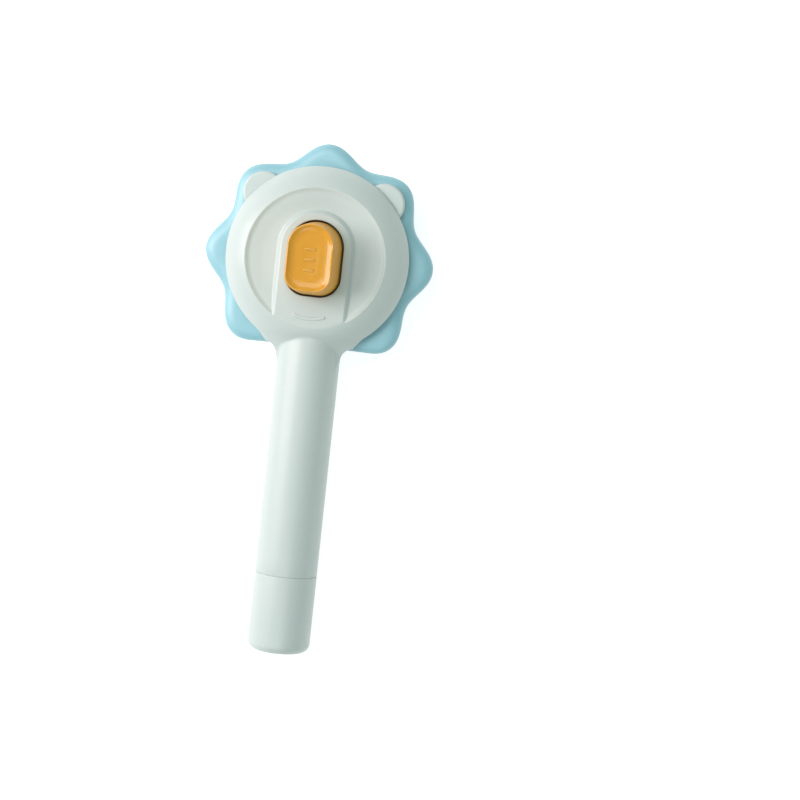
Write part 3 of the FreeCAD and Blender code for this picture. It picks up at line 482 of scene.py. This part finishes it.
ribSizes = {"halfWidth": 5.75, "curve": 16.0, "endY": -21.9, "thick": 0.85, "rise": 0.27, "sunk": 0.3,
            "steps": 41, "endCloseness": 1.8, "around": 20}
buttonSizes = {
    "halfWidth": 10.2, "halfLength": 14.15, "frontRound": 10.1, "backRound": 7.4, "draft": 3.6,
    "around": 288, "topRound": 0.6, "topStretch": 1.4, "rimCrest": 0.55, "rimShare": 0.85, "rimSteps": 9,
    "crestFlat": 0.1, "edgeGap": 0.02,
    "dishEdge": 0.6, "dishSlope": 4.8, "dishSteepness": 4.0, "dishOval": 0.6, "dishDepth": 1.1,
    "dishSag": 0.15, "dishShares": (0.12, 0.3, 0.5, 0.7, 0.85, 0.95), "dishSteps": 15,
    "wallShares": (0.25, 0.5, 0.75, 0.97),
    "wall": 1.5, "ceiling": 44.0, "ceilingStep": 2.0,
}

rimTop = domeSizes["splitHeight"] + domeSizes["rimRound"]
flankCentre = arcCentre((rimRadius, rimTop), (domeSizes["crestRadius"], domeSizes["crestHeight"]),
                        domeSizes["flankBulge"])


# Height of the head's bulging flank at a distance from the axis: a circle's arc.
def flankHeight(distance):
    square = domeSizes["flankBulge"] ** 2 - (distance - flankCentre[0]) ** 2
    return flankCentre[1] + np.sqrt(np.maximum(square, 0))


# Distance inside the arch's outline: from its straight sides, its shoulder arcs or its crown arc, whichever
# sector of their centres the point lies in.
def insideArch(x, y):
    a = archSizes
    offset = a["halfWidth"] - a["shoulder"]
    apart = a["crown"] - a["shoulder"]
    rise = math.sqrt(apart * apart - offset * offset)
    crownY = a["front"] - a["crown"]
    springY = crownY + rise
    x = np.abs(x)
    side = a["halfWidth"] - x
    shoulder = a["shoulder"] - np.hypot(x - offset, y - springY)
    crown = a["crown"] - np.hypot(x, y - crownY)
    inCrown = (x * rise < (y - crownY) * offset) & (y > springY)
    return np.where(inCrown, crown, np.where((y > springY) & (x > offset), shoulder, side))


# Distance inside the button's foot, or inside that outline grown outwards.
def insideButton(x, y, grown=0.0):
    b = buttonSizes
    return insideRectangle(x, y, b["halfWidth"] + grown, b["halfLength"] + grown,
                           b["frontRound"] + grown, b["backRound"] + grown)


# Height of the head's back inside the crest: the flank, cut off by the greatest of the recess floor, which
# rises outwards as a smooth step, the sloping recess wall and the arch with its bevel, every edge softened.
def headHeight(x, y):
    s, a = domeSizes, archSizes
    distance = np.hypot(x, y)
    soft = s["edgeSoftness"]
    wall = s["crestHeight"] + (distance - s["crestRadius"]) * s["recessWallSlope"]
    dishStart, dishEnd, dishRise = s["recessDish"]
    share = np.clip((distance - dishStart) / (dishEnd - dishStart), 0, 1)
    floor = s["recessFloor"] + dishRise * share * share * (3 - 2 * share)
    bevel = a["foot"] + insideArch(x, y) * (a["top"] - a["foot"]) / a["bevelWidth"]
    arch = softMin(np.full_like(distance, a["top"]), bevel, soft)
    inner = softMax(softMax(floor, wall, soft), arch, soft)
    return softMin(flankHeight(distance), inner, soft)


# The dome as one closed skin: each angle's ray carries the same run of stations, out from the button's hole
# over the arch, the recess and the flank to the rim, and back along the inside of the wall.
def domeSkin():
    s, t = domeSizes, stationSizes
    angles = roundAngles(s["around"])
    cos, sin = np.cos(angles), np.sin(angles)
    rings = []

    def station(distance, height=None):
        if height is None:
            height = headHeight(distance * cos, distance * sin)
        rings.append(upright(angles, distance, height))

    hole = reach(lambda x, y: insideButton(x, y, s["holeGap"]), angles, 0)
    edge = s["holeRound"]
    top = headHeight(hole * cos, hole * sin)
    station(hole, s["ceiling"])
    station(hole, top - edge)
    station(hole + edge * bevelMiddle, top - edge * bevelMiddle)
    station(hole + edge)

    # stations along the arch's outline, held inside the recess wall where the arch meets the flank
    outline = [np.minimum(reach(insideArch, angles, level), t["archLimit"] + t["archLimitStep"] * index)
               for index, level in enumerate(t["archLevels"])]
    for share in t["quarters"]:
        station(hole + edge + (outline[0] - hole - edge) * share)
    for distance in outline:
        station(distance)
    for share in t["recessShares"]:
        station(outline[-1] + (t["recessEnd"] - outline[-1]) * share)
    for distance in t["crest"]:
        station(distance)

    flankStart = (t["crest"][-1], float(flankHeight(t["crest"][-1])))
    flank = arcPoints((rimRadius, rimTop), flankStart, s["flankBulge"], s["flankSteps"])
    for distance, height in flank[-2::-1]:
        station(distance, height)
    lowerRim = (rimRadius - s["rimRound"], s["splitHeight"])
    for distance, height in arcPoints(lowerRim, (rimRadius, rimTop), s["rimBulge"], s["rimSteps"])[-2::-1]:
        station(distance, height)
    cavityFoot = (rimRadius - s["wall"], s["splitHeight"])
    station(*cavityFoot)
    cavityTop = (s["cavityRadius"], s["ceiling"])
    for distance, height in arcPoints((cavityFoot[0], rimTop), cavityTop, s["flankBulge"], s["cavitySteps"]):
        station(distance, height)
    for share in t["quarters"]:
        station(cavityTop[0] + (hole - cavityTop[0]) * share, s["ceiling"])
    return skin(rings)


# A low ridge with rounded ends, swept along an arc: each ring is an ellipse across the path that shrinks to
# nothing at both ends as a circle does.
def ribSkin(r, top):
    along = np.linspace(-1, 1, r["steps"])
    along = np.sign(along) * (1 - (1 - np.abs(along)) ** r["endCloseness"])      # closer steps near the ends
    length = r["halfWidth"] + r["thick"]
    x = along * length
    sagEnd = math.sqrt(r["curve"] ** 2 - length ** 2)
    y = r["endY"] - (np.sqrt(r["curve"] ** 2 - x ** 2) - sagEnd)
    slope = x / np.sqrt(r["curve"] ** 2 - x ** 2)
    past = np.maximum(np.abs(x) - r["halfWidth"], 0) / r["thick"]
    shrink = np.sqrt(np.maximum(1 - past ** 2, 0))[1:-1, None]
    x, y, slope = x[1:-1, None], y[1:-1, None], slope[1:-1, None]
    angles = roundAngles(r["around"])
    across = r["thick"] * shrink * np.cos(angles)
    upward = (r["rise"] + r["sunk"]) * shrink * np.sin(angles)
    normal = np.stack([-slope, np.ones_like(slope)], axis=-1) / np.hypot(slope, 1)[..., None]
    rings = np.stack([x + normal[..., 0] * across, headY + y + normal[..., 1] * across,
                      top - r["sunk"] + upward], axis=-1)
    return skin(rings, "poles")


# The four hollow screw bosses under the dome.
def screwBosses():
    s = domeSizes
    return [tube(s["bossHole"], s["bossRadius"], s["splitHeight"], s["bossTop"], s["bossAround"],
                 onCircle(s["bossCircle"], math.radians(corner))) for corner in fourCorners]


# Handle and neck.

neckSizes = {
    "around": 240, "bore": 10.3, "endWall": 2.0, "edgeRound": 0.4, "seamRound": 0.3,
    "domeBlend": 0.6, "webBlend": 1.0, "sunk": 0.05, "faceWall": 1.2, "faceLimit": 11.0,
    "webTop": 21.3, "webFall": 0.85, "webLow": 19.1, "webBottom": 18.1, "webSoft": 0.9, "webTopSoft": 1.5,
    "webCentre": (17.75, -38.5), "webRound": 5.0, "webShoulder": -33.55, "webRim": (20.9, -28.9),
    "webTaper": 0.5, "webReach": 1.2, "webPast": 0.2, "sideScale": 0.75, "topScale": 0.8,
    "climbStart": -62.0, "climbLength": 18.0, "climbGap": 0.02,
    "plainEnd": -63.0, "plainRings": 12, "climbEnd": -46.0, "climbRings": 18, "flareRings": 72,
    "tuckAngles": (-1.6, -0.1), "tuckRadius": 5.0, "tuckGap": 0.01, "leastSine": 0.01, "upwardSine": 0.05,
    "rayLimits": (2.0, 27.0), "halvings": 34,
}


# Signed distance to the neck's flare: it carries the dome's flank on outwards, inside concave arcs that
# lead from the handle's sides out to the rim, down to a level underside. The scales make slanted
# differences nearly true distances.
def webDistance(x, y, z):
    n = neckSizes
    x = np.abs(x)
    centreX, centreY = n["webCentre"]
    drop = np.clip(y - centreY, 0, n["webShoulder"] - centreY)
    arc = centreX - np.sqrt(n["webRound"] ** 2 - drop ** 2) - np.maximum(centreY - y, 0) * n["webTaper"]
    share = np.clip((y - n["webShoulder"]) / (n["webRim"][1] - n["webShoulder"]), 0, n["webReach"])
    width = arc + share * (n["webRim"][0] - arc)
    sideways = (x - width) * n["sideScale"]
    falling = n["webTop"] - n["webFall"] * (np.hypot(x, y) - rimRadius)
    top = softMax(falling, np.full_like(x, n["webLow"]), n["webTopSoft"])
    above = (z - top) * n["topScale"]
    return np.maximum(softMax(sideways, above, n["webSoft"]), n["webBottom"] - z)


# Signed distance to the dome, sunk a hair so that its own skin shows where the two meet.
def domeDistance(x, y, z):
    distance = np.hypot(x, y)
    flank = np.hypot(distance - flankCentre[0], z - flankCentre[1]) - domeSizes["flankBulge"]
    within = np.maximum(flank, distance - rimRadius)
    return np.maximum(within, domeSizes["splitHeight"] - z) + neckSizes["sunk"]


# The tube as rays from a line along the handle: each runs out to where the softly joined distance of tube,
# flare and dome is zero. The line lies on the tube's axis and climbs, near the neck, to the flare's
# underside. The first rings lie in the bore, from its end back to the seam, and the rest run on from the
# seam outside, to the neck's face or just under the dome's skin.
def handleSkin():
    n = neckSizes
    angles = roundAngles(n["around"])
    cos, sin = np.cos(angles), np.sin(angles)
    seam = shellLow[1] - headY
    face = -rimRadius
    upness = np.degrees(np.arctan2(sin, np.abs(cos)))      # -90 at the bottom, 90 at the top
    tuckFrom, tuckTo = n["tuckAngles"]
    stop = np.where(upness > tuckFrom, n["webRim"][1] + n["webPast"], face)
    underWeb = (upness > tuckFrom) & (upness < tuckTo)

    def lineHeight(y):
        climb = np.clip((y - n["climbStart"]) / n["climbLength"], 0, 1)
        return gripZ + (n["webBottom"] + n["climbGap"] - gripZ) * climb * climb * (3 - 2 * climb)

    def tubeRadius(y):
        near, far = (np.full(np.shape(y), limit) for limit in n["rayLimits"])
        for _ in range(n["halvings"]):
            middle = (near + far) / 2
            x, z = middle * cos, lineHeight(y) + middle * sin
            tube = np.hypot(x, z - gripZ) - gripRadius
            flared = softMin(tube, webDistance(x, y, z), n["webBlend"])
            joined = softMin(flared, domeDistance(x, y, z), n["domeBlend"])
            near, far = np.where(joined < 0, middle, near), np.where(joined < 0, far, middle)
        tucked = underWeb & (y > face - n["tuckGap"])      # these rays end in under the flare
        return np.where(tucked, n["tuckRadius"], (near + far) / 2)

    def ring(y, distance):
        y, distance = y + 0 * angles, distance + 0 * angles
        return np.stack([distance * cos, headY + y, lineHeight(y) + distance * sin], axis=-1)

    def circle(y, distance):
        return np.stack([distance * cos, headY + y + 0 * angles, gripZ + distance * sin], axis=-1)

    edge, lip = n["edgeRound"], n["seamRound"]
    rings = [
        circle(face - n["endWall"], n["bore"] * 0.5), circle(face - n["endWall"], n["bore"]),
        circle(seam, n["bore"]), circle(seam, gripRadius - lip),
        circle(seam + lip * bevelMiddle, gripRadius - lip * bevelMiddle), circle(seam + lip, gripRadius)]
    rings += [circle(y, gripRadius) for y in np.linspace(seam + lip, n["plainEnd"], n["plainRings"])[1:]]
    last = stop - edge
    for y in np.linspace(n["plainEnd"], n["climbEnd"], n["climbRings"])[1:]:
        rings.append(ring(y, tubeRadius(y + 0 * angles)))
    for share in np.linspace(0, 1, n["flareRings"])[1:]:
        y = n["climbEnd"] + (last - n["climbEnd"]) * share
        rings.append(ring(y, tubeRadius(y)))
    end = tubeRadius(last)
    rings.append(ring(stop - edge * bevelMiddle, end - edge * bevelMiddle))
    rings.append(ring(stop, end - edge))
    # the neck's face is closed within the tube and, where a ray points up, no higher than the split
    split = (domeSizes["splitHeight"] - lineHeight(face)) / np.maximum(sin, n["leastSine"])
    inner = tubeRadius(face + 0 * angles) - n["faceWall"]
    foot = np.where(sin > n["upwardSine"], np.minimum(split, np.minimum(inner, n["faceLimit"])), inner)
    rings += [ring(face, foot), ring(face, foot * 0.5)]
    return skin(rings, "poles")


bodyShell = makePiece("bodyShell", [
    domeSkin(), ribSkin(ribSizes, archSizes["top"]), handleSkin(), *screwBosses()])
settle(bodyShell, shellPlastic, "housing", "shell_plastic", "body_shell")
print("body shell made:", len(bodyShell.data.polygons), "faces")


# End cap.

capSizes = {
    "around": 216, "endRound": 3.5, "endWall": 2.0,
    "seamChamfer": 0.3, "spigotRadius": 10.25, "spigotBore": 8.45,
    "grooveStart": 8.28, "grooveWidth": 1.61, "grooveRadius": 8.99,
    "chamferRound": 0.2, "shoulderRound": 0.05, "spigotRound": 0.3, "bottomRound": 1.0, "roundSteps": 9,
}


# The cap turned about the handle's axis: rounded end, plain tube, a chamfer at the seam, and the spigot
# with its seal's groove, hollow to the end wall.
def capSkin():
    c = capSizes
    end, seam, tip = capLow[1], shellLow[1], capHigh[1]
    groove = seam + c["grooveStart"]
    profile = roundedPath([
        (end, 0.0), (end, gripRadius, c["endRound"]),
        (seam - c["seamChamfer"], gripRadius, c["chamferRound"]),
        (seam, gripRadius - c["seamChamfer"], c["shoulderRound"]),
        (seam, c["spigotRadius"], c["shoulderRound"]),
        (groove, c["spigotRadius"]), (groove, c["grooveRadius"]),
        (groove + c["grooveWidth"], c["grooveRadius"]), (groove + c["grooveWidth"], c["spigotRadius"]),
        (tip, c["spigotRadius"], c["spigotRound"]), (tip, c["spigotBore"], c["spigotRound"]),
        (end + c["endWall"], c["spigotBore"], c["bottomRound"]), (end + c["endWall"], 0.0)],
        steps=c["roundSteps"])
    return skin(turnedAlongHandle(profile[1:-1], c["around"]), "poles")


endCap = makePiece("endCap", [capSkin()])
settle(endCap, shellPlastic, "housing", "shell_plastic", "end_cap")
print("end cap made")


# Button.

ridgeSizes = {"halfLength": 2.15, "halfWidth": 0.62, "rise": 0.30, "pitch": 3.95, "shift": -0.8,
              "around": 48, "steps": 8, "drawIn": 0.9, "endRound": 0.99, "sunk": 0.4}
insideSizes = {"skirtBore": 6.3, "skirtRadius": 7.5, "skirtAround": 64,
               "bossBore": 1.02, "bossRadius": 2.2, "bossAround": 28, "bossY": 10.6, "rooted": 0.2}


# The button as one closed skin of outlines, each the button's outline drawn in by an inset at a height:
# from the dish's middle over the soft rim, down the drafted wall, and back up inside to the ceiling.
def buttonSkin():
    b = buttonSizes
    angles = roundAngles(b["around"])
    cos, sin = np.cos(angles), np.sin(angles)
    bottom, top = buttonLow[2], buttonHigh[2]
    lean = math.tan(math.radians(b["draft"]))
    faceInset = (top - bottom) * lean
    rings = []

    def outline(inset, height, share=1.0, rounder=0.0):
        distance = reach(insideButton, angles, inset)
        oval = 1 / np.hypot(cos / (b["halfWidth"] - inset), sin / (b["halfLength"] - inset))
        distance = (distance + (oval - distance) * rounder) * share
        rings.append(upright(angles, distance, height))

    floorInset = faceInset + b["dishEdge"] + b["dishSlope"]
    floor = top - b["dishDepth"]
    for share in b["dishShares"]:
        outline(floorInset, floor - b["dishSag"] * (1 - share * share), share, b["dishOval"])
    for share in np.linspace(0, 1, b["dishSteps"]):      # the dish's wall steepens as a power of the way out
        outline(floorInset - b["dishSlope"] * share, floor + b["dishDepth"] * share ** b["dishSteepness"],
                rounder=b["dishOval"] * (1 - share))
    crest = faceInset + b["rimCrest"]
    outline(crest - b["crestFlat"], top)
    edgeWidth, edgeDrop = b["rimCrest"] * b["rimShare"], b["topRound"] * b["topStretch"]
    # the rim's outer edge, an ellipse's quarter
    for corner in np.linspace(0, math.pi / 2, b["rimSteps"])[1:]:
        outline(faceInset + edgeWidth * (1 - math.sin(corner)) + b["edgeGap"],
                top - edgeDrop * (1 - math.cos(corner)))
    lowest = top - edgeDrop
    for share in b["wallShares"]:
        height = lowest + (bottom - lowest) * share
        outline((height - bottom) * lean, height)
    outline(0.0, bottom)
    outline(b["wall"], bottom)
    for share in (0.5, 1.0):
        height = bottom + (b["ceiling"] - bottom) * share
        outline(b["wall"] + (height - bottom) * lean, height)
    outline(b["wall"] + b["ceilingStep"], b["ceiling"], 0.5)
    return skin(rings, "poles")


# A low bar with round ends: outlines of a stadium that draw in as a quarter ellipse over its height.
def ridgeSkin(r, middleY, foot):
    angles = roundAngles(r["around"])
    endRadius = r["halfWidth"] * r["endRound"]
    rings = []
    for corner in np.linspace(0, math.pi / 2, r["steps"]):
        inset = r["drawIn"] * r["halfWidth"] * (1 - math.cos(corner))
        height = foot + r["rise"] * math.sin(corner)
        distance = reach(lambda x, y: insideRectangle(
            x, y, r["halfLength"], r["halfWidth"], endRadius, endRadius), angles, inset)
        rings.append(upright(angles, distance, height, (0.0, middleY)))
    rings.insert(0, rings[0] - np.array([0, 0, r["sunk"]]))
    return skin(rings, "poles")


# The skirt round the spring and the two screw bosses, rooted a little way into the button's ceiling.
def buttonInsides():
    i = insideSizes
    bottom, ceiling = buttonLow[2], buttonSizes["ceiling"] + i["rooted"]
    skirt = tube(i["skirtBore"], i["skirtRadius"], bottom, ceiling, i["skirtAround"])
    return [skirt] + [tube(i["bossBore"], i["bossRadius"], bottom, ceiling, i["bossAround"], (0.0, y))
                      for y in (-i["bossY"], i["bossY"])]


ridgeFoot = buttonHigh[2] - buttonSizes["dishDepth"] - buttonSizes["dishSag"]
ridges = [ridgeSkin(ridgeSizes, ridgeSizes["shift"] + ridgeSizes["pitch"] * index, ridgeFoot)
          for index in (-1, 0, 1)]
buttonCap = makePiece("buttonCap", [buttonSkin(), *ridges, *buttonInsides()])
settle(buttonCap, buttonPlastic, "ejector", "button_plastic", "button_cap")
print("button made")


# Ejector plate.

plateSizes = {
    "around": 576, "wave": 2.85, "lobes": 8, "backRoundWide": 4.6, "backRoundDeep": 3.2, "frontRound": 1.8,
    "cutSoftness": 1.6, "bow": 0.75, "bowReach": 25.0, "cavityRadius": 33.4, "floor": 1.4, "mouthRound": 0.3,
    "holeRadius": 1.25, "holeMouth": 0.3, "ringRadius": 6.0, "ringStep": 5.6, "ringPins": (6, 12, 20, 28, 32),
    "screwCircle": 20.0, "screwHead": 1.95, "screwShank": 1.05, "seatDepths": (0.05, 0.95),
    "flatRings": (11.0, 24.0), "flatMargin": 1.5, "frontSteps": 9, "backSteps": 16, "ringGap": 0.03,
    "mouthGap": 0.02, "cavityRound": 0.5, "toolPast": (0.5, 1.0), "holeAround": 20, "seatAround": 28,
}


# Distance inside the plate's outline: a circle whose radius waves as a cosine of eight times the angle, cut
# on the handle's side by a line that bows in a little as a fourth power. Dividing by the outline's slope
# makes it nearly a true distance.
def insidePlate(x, y):
    p = plateSizes
    angle = np.arctan2(y, x)
    outline = plateHigh[0] - p["wave"] + p["wave"] * np.cos(p["lobes"] * angle)
    slope = p["lobes"] * p["wave"] * np.sin(p["lobes"] * angle) / outline
    scallop = (outline - np.hypot(x, y)) / np.sqrt(1 + slope * slope)
    bow = p["bow"] * np.maximum(1 - (x / p["bowReach"]) ** 4, 0)
    return softMin(scallop, y - (plateLow[1] - headY) - bow, p["cutSoftness"])


# The plate as one closed skin: level front, rounded edge, a back that falls away over a wide quarter
# ellipse, and the round cavity that clears the pins' base.
def plateSkin():
    p = plateSizes
    angles = roundAngles(p["around"])
    cos, sin = np.cos(angles), np.sin(angles)
    front, back = plateLow[2], plateHigh[2]
    rings = []

    def ring(distance, height):
        rings.append(upright(angles, distance, height))

    def backHeight(distance):
        share = np.clip(insidePlate(distance * cos, distance * sin) / p["backRoundWide"], 0, 1)
        return back - p["backRoundDeep"] * (1 - np.sqrt(1 - (1 - share) ** 2))

    for distance in p["flatRings"]:
        ring(distance, front)
    ring(reach(insidePlate, angles, p["frontRound"] + p["flatMargin"]), front)
    for corner in np.linspace(0, math.pi / 2, p["frontSteps"]):
        ring(reach(insidePlate, angles, p["frontRound"] * (1 - math.sin(corner))),
             front + p["frontRound"] * (1 - math.cos(corner)))
    mouth = p["cavityRadius"] + p["mouthRound"]
    for index, corner in enumerate(np.linspace(0, math.pi / 2, p["backSteps"])):
        level = p["backRoundWide"] * (1 - math.cos(corner))
        least = mouth + p["ringGap"] * (p["backSteps"] + 1 - index)
        distance = np.maximum(reach(insidePlate, angles, level), least)
        ring(distance, backHeight(distance))
    ring(mouth + p["mouthGap"], backHeight(mouth + p["mouthGap"]))
    ring(mouth - p["mouthRound"] * (1 - bevelMiddle), backHeight(mouth) - p["mouthRound"] * bevelMiddle)
    ring(p["cavityRadius"], backHeight(mouth) - p["mouthRound"])
    floor = front + p["floor"]
    ring(p["cavityRadius"], floor + p["cavityRound"])
    ring(p["cavityRadius"] - p["cavityRound"] * bevelMiddle, floor + p["cavityRound"] * bevelMiddle)
    ring(p["cavityRadius"] - p["cavityRound"], floor)
    for distance in reversed(p["flatRings"]):
        ring(distance, floor)
    return skin(rings, "poles")


# The tools that cut the pins' holes, with a flared mouth, and the four screws' countersinks.
def plateTools():
    p = plateSizes
    front = plateLow[2]
    before, past = front - p["toolPast"][0], front + p["floor"] + p["toolPast"][1]
    hole = np.array([(p["holeRadius"] + p["holeMouth"] * 2, front - p["holeMouth"]),
                     (p["holeRadius"], front + p["holeMouth"]), (p["holeRadius"], past)])
    seat = np.array([(p["screwHead"], before), (p["screwHead"], front + p["seatDepths"][0]),
                     (p["screwShank"], front + p["seatDepths"][1]), (p["screwShank"], past)])
    tools = []
    for index, pins in enumerate(p["ringPins"]):
        radius = p["ringRadius"] + p["ringStep"] * index
        # the last ring stands half a step round
        offset = 0.5 if index == len(p["ringPins"]) - 1 else 0.0
        for pin in range(pins):
            spot = onCircle(radius, turn * (pin + offset) / pins)
            tools.append(skin(turned(hole, p["holeAround"], spot), "poles"))
    for corner in fourCorners:
        spot = onCircle(p["screwCircle"], math.radians(corner))
        tools.append(skin(turned(seat, p["seatAround"], spot), "poles"))
    return tools


# Takes the tools out of a piece with one exact Boolean and leaves the piece a plain mesh.
def cutFrom(piece, toolSkins):
    tool = makePiece("tool", toolSkins)
    modifier = piece.modifiers.new("cut", "BOOLEAN")
    modifier.operation, modifier.solver, modifier.object = "DIFFERENCE", "EXACT", tool
    evaluated = piece.evaluated_get(bpy.context.evaluated_depsgraph_get())
    mesh = bpy.data.meshes.new_from_object(evaluated)
    piece.modifiers.clear()
    piece.data = mesh
    mesh.shade_smooth()
    mesh.set_sharp_from_angle(angle=math.radians(sharpAngle))
    bpy.data.objects.remove(tool)


ejectorPlate = makePiece("ejectorPlate", [plateSkin()])
cutFrom(ejectorPlate, plateTools())
settle(ejectorPlate, platePlastic, "ejector", "plate_plastic", "ejector_plate")
print("plate made:", len(ejectorPlate.data.polygons), "faces")


# Return spring.

springSizes = {"turns": 8.0, "wire": 0.45, "mean": 4.3, "perTurn": 40, "around": 12}


# A helix at even pitch with a round wire: each ring is a circle across the helix's own direction.
def springSkin(s):
    steps = int(s["turns"] * s["perTurn"]) + 1
    angle = np.linspace(0, turn * s["turns"], steps)
    low, high = springLow[2] + s["wire"], springHigh[2] - s["wire"]
    pitch = (high - low) / (turn * s["turns"])
    outward = np.stack([np.cos(angle), np.sin(angle), 0 * angle], axis=-1)
    along = np.stack([-s["mean"] * np.sin(angle), s["mean"] * np.cos(angle), 0 * angle + pitch], axis=-1)
    along /= np.linalg.norm(along, axis=-1, keepdims=True)
    third = np.cross(along, outward)
    climb = (pitch * angle)[:, None] * np.array([0, 0, 1])
    middle = outward * s["mean"] + np.array([0, headY, low]) + climb
    section = roundAngles(s["around"])
    rings = middle[:, None] + s["wire"] * (outward[:, None] * np.cos(section)[:, None]
                                           + third[:, None] * np.sin(section)[:, None])
    return skin(rings, "poles")


returnSpring = makePiece("returnSpring", [springSkin(springSizes)])
settle(returnSpring, springSteel, "housing", "spring_steel", "return_spring")
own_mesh(returnSpring)
print("spring made")


# Carried-over CAD nodes.

finishes = {
    "front_shell": shellPlastic, "pin_base": platePlastic,
    "button_carrier": innerPlastic, "spring_guide": innerPlastic,
    "inner_pins": pinSteel, "outer_pins": pinSteel,
    "guide_rod_1": rodSteel, "guide_rod_2": rodSteel, "guide_rod_3": rodSteel, "guide_rod_4": rodSteel,
    "guide_screw": screwSteel, "shell_screws": screwSteel, "pin_base_screws": screwSteel,
    "plate_screws": screwSteel, "rod_screws": screwSteel, "carrier_screws": screwSteel,
    "cap_seal": sealRubber,
}
for nodeName, finish in finishes.items():
    for slot in nodes[nodeName].material_slots:
        slot.material = finish
print("carried-over nodes finished")


# Floor and light.

floorLook = {
    "side": 6000.0, "drop": 0.05, "glow": 0.74, "colour": "BEBEBE", "cloudColour": "BABBBB",
    "cloudSize": 160.0, "roughness": 0.9, "specular": 0.1,
}
softboxAim = (0.0, 20.0, 15.0)
softboxes = {
    "keySoftbox": {"place": (-720.0, 160.0, 590.0), "size": (520.0, 800.0), "power": 7.8,
                   "tint": (1.0, 0.87, 0.90)},
    "fillSoftbox": {"place": (-200.0, 420.0, 900.0), "size": (600.0, 600.0), "power": 2.6},
    "lowFillSoftbox": {"place": (60.0, -480.0, 780.0), "size": (450.0, 450.0), "power": 1.15},
}
worldLook = {"light": 0.39, "tint": (0.87, 1.0, 0.97)}


# Opal acrylic lit from below, with a faint cloudiness: it stays pale where the object shades it.
def makeFloor(look):
    half = look["side"] / 2 * mm
    mesh = bpy.data.meshes.new("floor")
    corners = [(-half, -half, 0), (half, -half, 0), (half, half, 0), (-half, half, 0)]
    mesh.from_pydata(corners, [], [(0, 1, 2, 3)])
    mesh.transform(Matrix.Translation((0, 0, -look["drop"] * mm)))
    floor = bpy.data.objects.new("floor", mesh)
    bpy.context.scene.collection.objects.link(floor)
    material, tree, shader, place = newMaterial("lit_opal_acrylic")
    cloud = addNode(tree, "TexNoise", {"Scale": 1000 / look["cloudSize"], "Detail": 2.0}, {"Vector": place})
    tint = addNode(tree, "Mix", {6: linear(look["colour"]), 7: linear(look["cloudColour"])},
                   {0: cloud.outputs["Fac"]}, data_type="RGBA")
    tree.links.new(tint.outputs[2], shader.inputs["Base Color"])
    shader.inputs["Roughness"].default_value = look["roughness"]
    shader.inputs["Specular IOR Level"].default_value = look["specular"]
    shader.inputs["Emission Color"].default_value = (1, 1, 1, 1)
    shader.inputs["Emission Strength"].default_value = look["glow"]
    floor.data.materials.append(material)


# A flat rectangular lamp that faces the object's middle.
def makeSoftbox(name, box):
    data = bpy.data.lights.new(name, "AREA")
    data.shape = "RECTANGLE"
    data.size, data.size_y = (side * mm for side in box["size"])
    data.energy = box["power"]
    data.color = box.get("tint", (1, 1, 1))
    light = bpy.data.objects.new(name, data)
    bpy.context.scene.collection.objects.link(light)
    light.location = Vector(box["place"]) * mm
    light.rotation_euler = (Vector(box["place"]) - Vector(softboxAim)).to_track_quat("Z", "Y").to_euler()


makeFloor(floorLook)
for softboxName, softbox in softboxes.items():
    makeSoftbox(softboxName, softbox)
world = bpy.data.worlds.new("studio")
world.use_nodes = True
world.node_tree.nodes["Background"].inputs["Color"].default_value = (*worldLook["tint"], 1)
world.node_tree.nodes["Background"].inputs["Strength"].default_value = worldLook["light"]
bpy.context.scene.world = world
bpy.context.scene.view_settings.view_transform = "Standard"
print("floor and lights placed")
